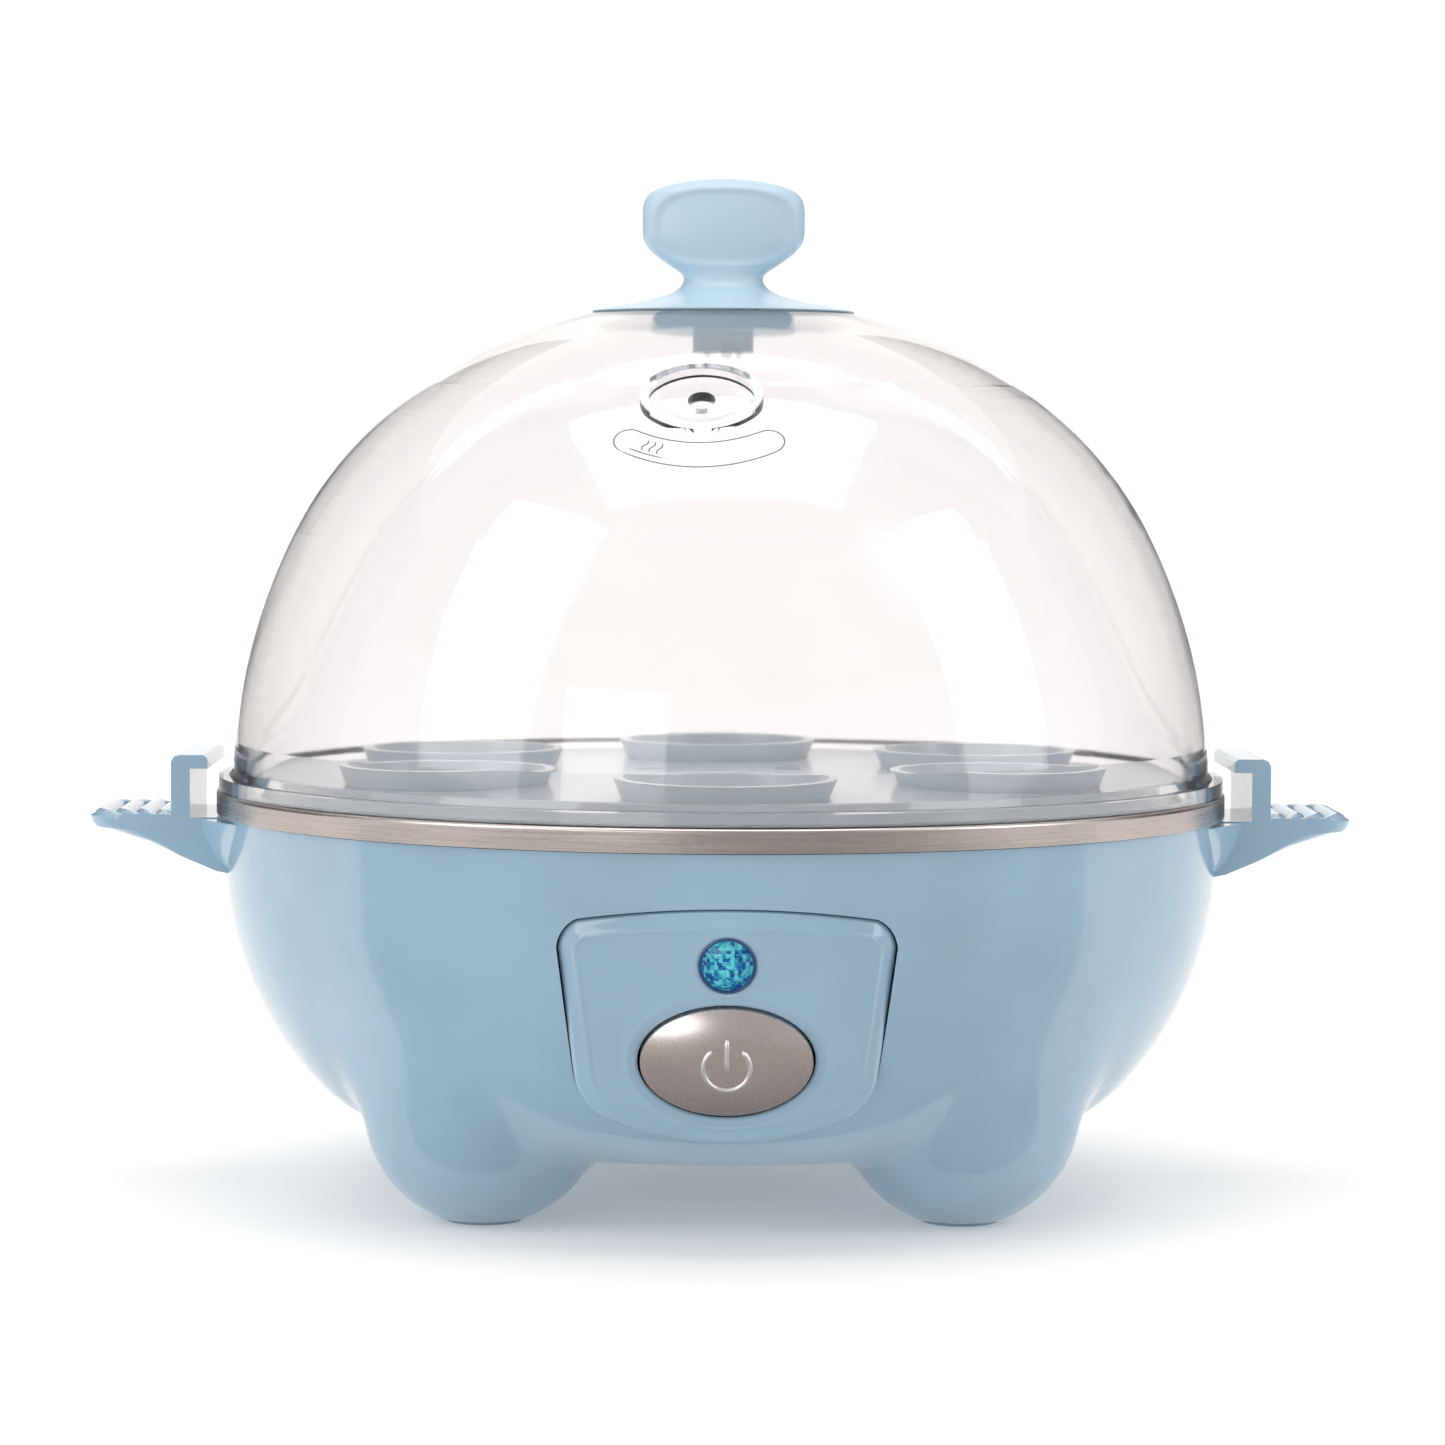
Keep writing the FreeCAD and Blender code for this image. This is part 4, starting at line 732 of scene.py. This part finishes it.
def make_button():
    """Oval cap, its rolled edge and skirt, with a raised power symbol in a lighter nickel that is a
    painted highlight.
    """
    place = face_place(BUTTON_LEVEL)
    count, rings = 160, 26
    verts = [place @ Vector((0, 0, button_height(0, 0)))]
    rows = []

    def add_row(reach, level=None):
        rows.append(len(verts))
        for i in range(count):
            angle = 2 * math.pi * i / count
            x, y = reach * BUTTON_LONG * math.cos(angle), reach * BUTTON_SHORT * math.sin(angle)
            height = button_height(x, y) if level is None else level
            verts.append(place @ Vector((x, y, height)))

    for ring in range(1, rings + 1):
        add_row(math.sin(math.pi / 2 * ring / rings))
    for level in SKIRT_LEVELS:
        add_row(1.0, level)
    verts.append(place @ Vector((0, 0, SKIRT_LEVELS[-1])))
    faces = [(0, 1 + i, 1 + (i + 1) % count) for i in range(count)]
    for here, below in zip(rows, rows[1:]):
        for i in range(count):
            j = (i + 1) % count
            faces.append((here + i, below + i, below + j, here + j))
    faces += [(len(verts) - 1, rows[-1] + i, rows[-1] + (i + 1) % count) for i in range(count)]
    cap = new_piece("power_cap", verts, faces, "nickel", "button")
    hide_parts("power_button")

    def on_cap(x, y, rise):
        return place @ Vector((x, y, button_height(x, y) + rise))

    ring = []
    for step in range(61):
        angle = math.pi / 2 + SYMBOL_GAP + (2 * math.pi - 2 * SYMBOL_GAP) * step / 60
        ring.append((SYMBOL_RADIUS * math.cos(angle), SYMBOL_RADIUS * math.sin(angle) - 0.3))
    bar = [(0, -0.6 + 4.5 * step / 14) for step in range(15)]
    # the symbol's ridges use the lighter nickel, a painted highlight
    for name, path in (("power_ring", ring), ("power_bar", bar)):
        ridge(name, path, on_cap, SYMBOL_HALF, SYMBOL_RISE, "symbol", "button")


def ridge(name, path, surface, half_width, height, material, body):
    """A rounded raised line along a path of (u, v) points on a surface(u, v, rise)."""
    across = [-1, -0.8, -0.4, 0, 0.4, 0.8, 1]
    verts = []
    for i, point in enumerate(path):
        before, after = path[max(i - 1, 0)], path[min(i + 1, len(path) - 1)]
        along = Vector((after[0] - before[0], after[1] - before[1])).normalized()
        end = min(i, len(path) - 1 - i, 2) / 2
        for side in across:
            reach = side * half_width * (0.55 + 0.45 * end)
            rise = height * math.sqrt(1 - side * side) * (0.3 + 0.7 * end) - 0.02
            verts.append(surface(point[0] - along.y * reach, point[1] + along.x * reach, rise))
    width = len(across)
    faces = []
    for i in range(len(path) - 1):
        for j in range(width - 1):
            start = i * width + j
            faces.append((start, start + 1, start + width + 1, start + width))
        faces.append((i * width + width - 1, i * width, (i + 1) * width, (i + 2) * width - 1))
    faces += [tuple(range(width)), tuple(range(len(verts) - width, len(verts)))]
    return new_piece(name, verts, faces, material, body)


def make_lens():
    """Domed blue cap cast over a field of small pyramids in a cup, ringed by a near-black tube that
    is painted shade for the gap round the lens; the pyramids carry painted glints and a painted glow.
    """
    place = face_place(LENS_LEVEL)
    profile = arc_points((0, LENS_ARC_CENTRE), LENS_ARC, 90, LENS_ARC_END, 12)
    profile += [(LENS_HOLE - 0.15, LENS_BACK), (0, LENS_BACK)]
    cap = lathe("lens_cap", profile, "lens", "base", 96, False, place)
    # painted shade: a near-black tube round the cap stands in for the shaded gap between lens and
    # panel
    ring = arc_points((LENS_HOLE + 0.12, 0.05), GAP_SHADE_TUBE, 0, 360, 12)[:-1]
    lathe("lens_rim", ring, "rim", "base", 96, True, place)
    cell, field, depth, peak = 0.78, 3.5, 0.9, 0.34
    verts, faces = [], []
    half = round(field / cell) + 1
    for column in range(-half, half):
        for row in range(-half, half):
            x, y = column * cell, row * cell
            if math.hypot(x + cell / 2, y + cell / 2) > field:
                continue
            start = len(verts)
            for dx, dy, rise in ((0, 0, 0), (1, 0, 0), (1, 1, 0), (0, 1, 0), (0.5, 0.5, peak)):
                u, v = x + dx * cell, y + dy * cell
                under = math.sqrt(LENS_ARC ** 2 - u * u - v * v) + LENS_ARC_CENTRE - depth
                verts.append(place @ Vector((u, v, under + rise)))
            faces += [(start + i, start + (i + 1) % 4, start + 4) for i in range(4)]
            faces.append(tuple(range(start, start + 4)))
    # the facets and the cup below both carry the lens core's painted glints and painted glow
    new_piece("lens_facets", verts, faces, "core", "base", smooth=False)
    bore = LENS_HOLE - 0.17
    cup = [(0, -1.5), (3.0, -1.5), (bore, -0.9), (bore, -0.34), (bore - 0.08, -0.34),
           (bore - 0.2, -0.85), (2.6, -1.3), (0, -1.4)]
    lathe("lens_cup", cup, "core", "base", 96, False, place)
    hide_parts("indicator_lens")


# ---------------------------------------------------------------- knob

DISC_RADIUS, SEAT_ARC, SEAT_GAP = 20.3, 84.1, 0.1
GRIP_LEVEL, DIMPLE_HALF_WIDTH, DIMPLE_HALF_HEIGHT, DIMPLE_DEPTH = 10.7, 10.6, 5.6, 0.6
KNOB_LEVELS = [  # rise above the dome's top, half width, half depth, squareness
    (-2.3, 20.3, 20.3, 2.0), (-2.08, 20.0, 20.0, 2.0), (-1.3, 16.0, 15.8, 2.0),
    (-0.55, 12.0, 11.5, 2.0), (0.2, 9.2, 8.4, 2.1), (1.1, 7.3, 6.5, 2.2), (2.1, 6.35, 5.5, 2.4),
    (3.0, 6.2, 5.1, 2.5), (3.9, 6.9, 5.0, 2.6), (5.3, 9.0, 5.1, 2.8), (7.1, 11.3, 5.3, 3.0),
    (9.0, 12.45, 5.4, 3.2), (11.5, 12.6, 5.3, 3.4), (14.1, 12.5, 5.1, 3.4),
    (15.7, 11.8, 4.8, 3.3), (16.9, 9.9, 4.2, 3.0), (17.75, 6.8, 3.3, 2.6),
    (18.2, 3.6, 2.0, 2.2), (18.36, 0.9, 0.6, 2.0)]


def catmull(points, steps):
    """A smooth chain through tuples of numbers."""
    chain = []
    padded = [points[0], *points, points[-1]]
    for a, b, c, d in zip(padded, padded[1:], padded[2:], padded[3:]):
        for step in range(steps):
            t = step / steps
            chain.append(tuple(0.5 * (2 * q + (r - p) * t + (2 * p - 5 * q + 4 * r - s) * t * t
                                      + (3 * q - p - 3 * r + s) * t ** 3)
                               for p, q, r, s in zip(a, b, c, d)))
    return chain + [points[-1]]


def smooth_step(value, low_end, high_end):
    """0 below low_end and 1 above high_end, with a soft rise between."""
    t = min(max((value - low_end) / (high_end - low_end), 0), 1)
    return t * t * (3 - 2 * t)


def make_knob():
    """One loft: thin disc on the dome, waisted neck, paddle grip with a shallow face."""
    top = high("lid_dome").z
    count = 176
    seat = [DISC_RADIUS * math.sin(math.pi / 2 * i / 6) for i in range(1, 7)]
    under = [(math.sqrt(SEAT_ARC ** 2 - r * r) - SEAT_ARC + SEAT_GAP, r, r, 2.0) for r in seat]
    verts, rows = [(0, 0, top + SEAT_GAP)], []
    for rise, wide, deep, square in under + catmull(KNOB_LEVELS, 5):
        rows.append(len(verts))
        for i in range(count):
            angle = 2 * math.pi * i / count
            c, s = math.cos(angle), math.sin(angle)
            x = wide * math.copysign(abs(c) ** (2 / square), c)
            y = deep * math.copysign(abs(s) ** (2 / square), s)
            q = (abs(x / DIMPLE_HALF_WIDTH) ** 2.8
                 + abs((rise - GRIP_LEVEL) / DIMPLE_HALF_HEIGHT) ** 2.8)
            if abs(y) > 2:
                y -= math.copysign(DIMPLE_DEPTH * smooth_step(-q, -1.2, -0.7), y)
            verts.append((x, y, top + rise))
    verts.append((0, 0, high("knob").z))
    faces = [(0, 1 + (i + 1) % count, 1 + i) for i in range(count)]
    for here, above in zip(rows, rows[1:]):
        for i in range(count):
            j = (i + 1) % count
            faces.append((here + i, here + j, above + j, above + i))
    faces += [(rows[-1] + i, rows[-1] + (i + 1) % count, len(verts) - 1) for i in range(count)]
    grip = new_piece("knob_grip", verts, faces, "knob", "lid")
    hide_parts("knob")


# ---------------------------------------------------------------- steam mark on the dome

CROWN_ARC, SHOULDER_ARC, CROWN_ANGLE = 84.0, 59.0, math.radians(56.8)
CROWN_LEVEL = 138.7 - CROWN_ARC
SHOULDER_CENTRE = ((CROWN_ARC - SHOULDER_ARC) * math.cos(CROWN_ANGLE),
                   CROWN_LEVEL + (CROWN_ARC - SHOULDER_ARC) * math.sin(CROWN_ANGLE))
VENT_CIRCLE, VENT_BEARING = 50.0, math.radians(-90 - 4.3)


def on_dome(u, v, rise):
    """The dome's outside near the vent: u along the level, v up the slope, from the vent."""
    start = math.acos((VENT_CIRCLE - SHOULDER_CENTRE[0]) / SHOULDER_ARC)
    slope = start + v / SHOULDER_ARC
    reach = SHOULDER_CENTRE[0] + (SHOULDER_ARC + rise) * math.cos(slope)
    level = SHOULDER_CENTRE[1] + (SHOULDER_ARC + rise) * math.sin(slope)
    bearing = VENT_BEARING + u / reach
    return Vector((reach * math.cos(bearing), reach * math.sin(bearing), level))


def make_steam_mark():
    """A curved rounded outline under the vent with three underlined waves, in grey ink."""
    bend, middle, half, reach = 21.0, 9.6, 2.3, 0.5
    line_half, line_rise = 0.13, 0.035

    def place(angle, out):
        return ((bend + out) * math.sin(angle), middle - (bend + out) * math.cos(angle))

    outline = [place(-reach + 2 * reach * i / 30, half) for i in range(31)]
    for i in range(1, 12):
        turn = math.pi * i / 12
        outline.append(place(reach + half * math.sin(turn) / bend, half * math.cos(turn)))
    outline += [place(reach - 2 * reach * i / 30, -half) for i in range(31)]
    for i in range(1, 12):
        turn = math.pi * i / 12
        outline.append(place(-reach - half * math.sin(turn) / bend, -half * math.cos(turn)))
    outline.append(outline[0])
    strokes = {"steam_outline": outline}
    for wave in range(3):
        angle = 0.12 - reach + wave * 0.055
        strokes[f"steam_wave_{wave}"] = [
            place(angle + 0.012 * math.sin(2 * math.pi * i / 16), -1.4 + 2.2 * i / 16)
            for i in range(17)]
    strokes["steam_line"] = [place(0.03 - reach + 0.24 * i / 10, 1.25) for i in range(11)]
    for name, path in strokes.items():
        ridge(name, path, on_dome, line_half, line_rise, "ink", "lid")


# ---------------------------------------------------------------- handles

def make_handle(name, node, side):
    """Wing with a ribbed deck, flared into the bowl, and a hooked post; side is +1 or -1."""
    reach, deck, deep = high("handle_right").x, 58.8, 13.0
    border, corner_round = deck - 0.1, 5.0
    rib_pitch, rib_half, rib_rise, rib_foot = 3.15, 1.3, 0.75, 0.3
    lower = [(77.8, 50.0), (83, 52.2), (88.5, 54.4), (94.6, 56.1)]
    tip = [(reach - 0.9, 56.5), (reach - 0.2, 57.3), (reach, 58.2)]
    ribs = []
    for rib in range(4):
        middle = reach - 1.95 - rib_pitch * rib
        for step in range(7):
            angle = math.pi * step / 6
            ribs.append((middle + rib_half * math.cos(angle),
                         deck - rib_foot + rib_rise * math.sin(angle)))
    first_rib = len(lower) + len(tip) + 1
    post = [(84.6, deck - rib_foot), (84.6, 66.7), (84.2, 67.5), (83.4, 67.8), (79.6, 67.8),
            (79.0, 67.3), (79.0, 65.7), (81.7, 65.7), (81.7, 58.2)]
    section = [(75.9, 49.6)] + lower + tip + ribs + post + [(75.9, 58.2)]
    slices = [deep * math.sin(math.pi / 2 * step / 10) for step in range(-10, 11)]
    verts = []
    for y in slices:
        over = max(abs(y) - (deep - corner_round), 0)
        pull = corner_round - math.sqrt(max(corner_round ** 2 - over ** 2, 0))
        fade = 1 - smooth_step(abs(y), 10.8, 12.3)
        for corner, (x, z) in enumerate(section):
            share = smooth_step(x, 86, 92)
            if first_rib <= corner < first_rib + len(ribs):
                z = border + (z - border) * fade
            verts.append((side * (x - pull * share), y, z))
    width = len(section)
    faces = []
    for i in range(len(slices) - 1):
        for j in range(width):
            k = (j + 1) % width
            faces.append((i * width + j, i * width + k, (i + 1) * width + k, (i + 1) * width + j))
    faces += [tuple(range(width)), tuple(range(len(verts) - width, len(verts)))]
    wing = new_piece(name, verts, faces, "body", "base")
    bevel(wing, 0.45)
    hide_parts(node)
    make_gusset(f"{name}_root", side)


def make_gusset(name, side):
    """The handle's root: a web from the wing's two ends, running out along the bowl's rim."""
    spread, wing_half, top, wing_foot, wing_reach = 27.0, 12.6, 58.05, 49.9, 82.0
    profile = ((-1, 0), (0, 0), (0.3, 0.16), (0.6, 0.4), (0.85, 0.7), (1, 1), (-1, 1))
    slices = [spread * math.sin(math.pi / 2 * step / 20) for step in range(-20, 21)]
    width = len(profile)
    verts = []
    for y in slices:
        wall = math.sqrt(BOWL_RADIUS ** 2 - y * y) - 0.5
        share = 1 - max(abs(y) - wing_half, 0) / (spread - wing_half)
        low_z = top - 0.3 - (top - wing_foot - 0.3) * share
        out = wall + 0.2 + (wing_reach - BOWL_RADIUS) * share ** 1.3
        for along, up in profile:
            x = wall + (out - wall) * along if along > 0 else wall + 1.6 * along
            verts.append((side * x, y, low_z + (top - low_z) * up))
    faces = []
    for i in range(len(slices) - 1):
        for j in range(width):
            k = (j + 1) % width
            faces.append((i * width + j, i * width + k, (i + 1) * width + k, (i + 1) * width + j))
    faces += [tuple(range(width)), tuple(range(len(verts) - width, len(verts)))]
    new_piece(name, verts, faces, "body", "base")


make_base_shell()
make_panel()
make_button()
make_lens()
make_knob()
make_steam_mark()
make_handle("wing_right", "handle_right", 1)
make_handle("wing_left", "handle_left", -1)


# ---------------------------------------------------------------- stage, light and camera

def make_floor():
    """A pale sweep: flat under the object, rising into a backdrop."""
    mesh = bpy.data.meshes.new("floor")
    half, front, back, height, bend = 4.0, -2.5, 2.2, 3.0, 1.0
    profile = [(front, 0.0), (back - bend, 0.0)]
    for step in range(1, 13):
        angle = math.pi / 2 * step / 12
        profile.append((back - bend + bend * math.sin(angle), bend - bend * math.cos(angle)))
    profile.append((back, height))
    verts = [(side * half, y, z) for y, z in profile for side in (-1, 1)]
    faces = [(2 * i, 2 * i + 1, 2 * i + 3, 2 * i + 2) for i in range(len(profile) - 1)]
    mesh.from_pydata(verts, [], faces)
    mesh.polygons.foreach_set("use_smooth", [True] * len(faces))
    floor = bpy.data.objects.new("floor", mesh)
    bpy.context.scene.collection.objects.link(floor)
    material, tree, shader = new_material("floor_paper")
    grain = noise(tree, object_coordinates(tree), 0.4, 4)
    tree.links.new(ramp(tree, grain, [(0.0, (0.81, 0.79, 0.77)), (1.0, (0.83, 0.81, 0.79))]),
                   shader.inputs["Base Color"])
    shader.inputs["Roughness"].default_value = 0.6
    shader.inputs["Emission Color"].default_value = (1, 1, 1, 1)
    shader.inputs["Emission Strength"].default_value = 0.24
    mesh.materials.append(material)


def make_card(name, tone, corners):
    """A grey studio card that shows only in reflections, such as the clear lid's edges."""
    mesh = bpy.data.meshes.new(name)
    mesh.from_pydata(corners, [], [(0, 1, 2, 3)])
    card = bpy.data.objects.new(name, mesh)
    bpy.context.scene.collection.objects.link(card)
    mesh.materials.append(MATERIALS[tone])
    card.visible_camera = False
    card.visible_diffuse = False
    card.visible_transmission = False
    card.visible_shadow = False


def area_light(name, place, target, width, height, power):
    """A white rectangular softbox at place, aimed at target."""
    data = bpy.data.lights.new(name, "AREA")
    data.shape = "RECTANGLE"
    data.size, data.size_y = width, height
    data.energy = power
    light = bpy.data.objects.new(name, data)
    light.location = place
    light.rotation_euler = (Vector(target) - Vector(place)).to_track_quat("-Z", "Y").to_euler()
    bpy.context.scene.collection.objects.link(light)


def make_lights():
    """A soft sky that is dimmer in front, four softboxes and a wash on the backdrop."""
    world = bpy.data.worlds.new("studio")
    world.use_nodes = True
    background = world.node_tree.nodes["Background"]
    background.inputs["Color"].default_value = (1, 1, 1, 1)
    tree = world.node_tree
    source = tree.nodes.new("ShaderNodeTexCoord")
    split = tree.nodes.new("ShaderNodeSeparateXYZ")
    tree.links.new(source.outputs["Generated"], split.inputs["Vector"])
    sky = tree.nodes.new("ShaderNodeMapRange")
    sky.inputs["From Min"].default_value = -1
    sky.inputs["To Min"].default_value = 0.36
    sky.inputs["To Max"].default_value = 0.72
    tree.links.new(split.outputs["Y"], sky.inputs["Value"])
    tree.links.new(sky.outputs["Result"], background.inputs["Strength"])
    bpy.context.scene.world = world
    middle = (0, 0, 0.08)
    area_light("softbox_left", (-0.75, -0.45, 0.55), middle, 0.5, 0.9, 3.2)
    area_light("softbox_right", (0.8, -0.35, 0.5), middle, 0.4, 0.8, 2.4)
    area_light("fill_left", (-0.42, -0.92, 0.27), middle, 0.42, 0.34, 1.0)
    area_light("overhead", (0, -0.1, 1.1), middle, 0.9, 0.7, 4.4)
    area_light("backdrop_wash", (0, 0.9, 1.5), (0, 2.1, 0.3), 2.6, 0.6, 16)


def make_camera():
    """Level with the lid, pitched slightly down, as far away as the perspective asks."""
    azimuth, distance, height = math.radians(-0.8), 0.700, 0.1147
    pitch, roll = math.radians(3.46), math.radians(0.3)
    data = bpy.data.cameras.new("camera")
    data.sensor_width = 36
    data.lens = 111.6
    data.shift_x = 0.001
    camera = bpy.data.objects.new("camera", data)
    camera.location = (distance * math.sin(azimuth), -distance * math.cos(azimuth), height)
    forward = Vector((-math.sin(azimuth) * math.cos(pitch), math.cos(azimuth) * math.cos(pitch),
                      -math.sin(pitch)))
    look = forward.to_track_quat("-Z", "Y").to_matrix().to_4x4()
    camera.rotation_euler = (look @ Matrix.Rotation(roll, 4, "Z")).to_euler()
    bpy.context.scene.collection.objects.link(camera)
    bpy.context.scene.camera = camera


make_floor()
for side, name in ((-1, "card_left"), (1, "card_right")):
    make_card(name, "card", [(side * 0.33, 1.5, 0.01), (side * 1.5, 0.2, 0.01),
                             (side * 1.5, 0.2, 1.1), (side * 0.33, 1.5, 1.1)])
make_card("card_front", "card_floor", [(-0.6, -0.056, 0.002), (0.6, -0.056, 0.002),
                                       (0.6, -1.0, 0.002), (-0.6, -1.0, 0.002)])
make_lights()
make_camera()
bpy.context.scene.view_settings.view_transform = "Standard"
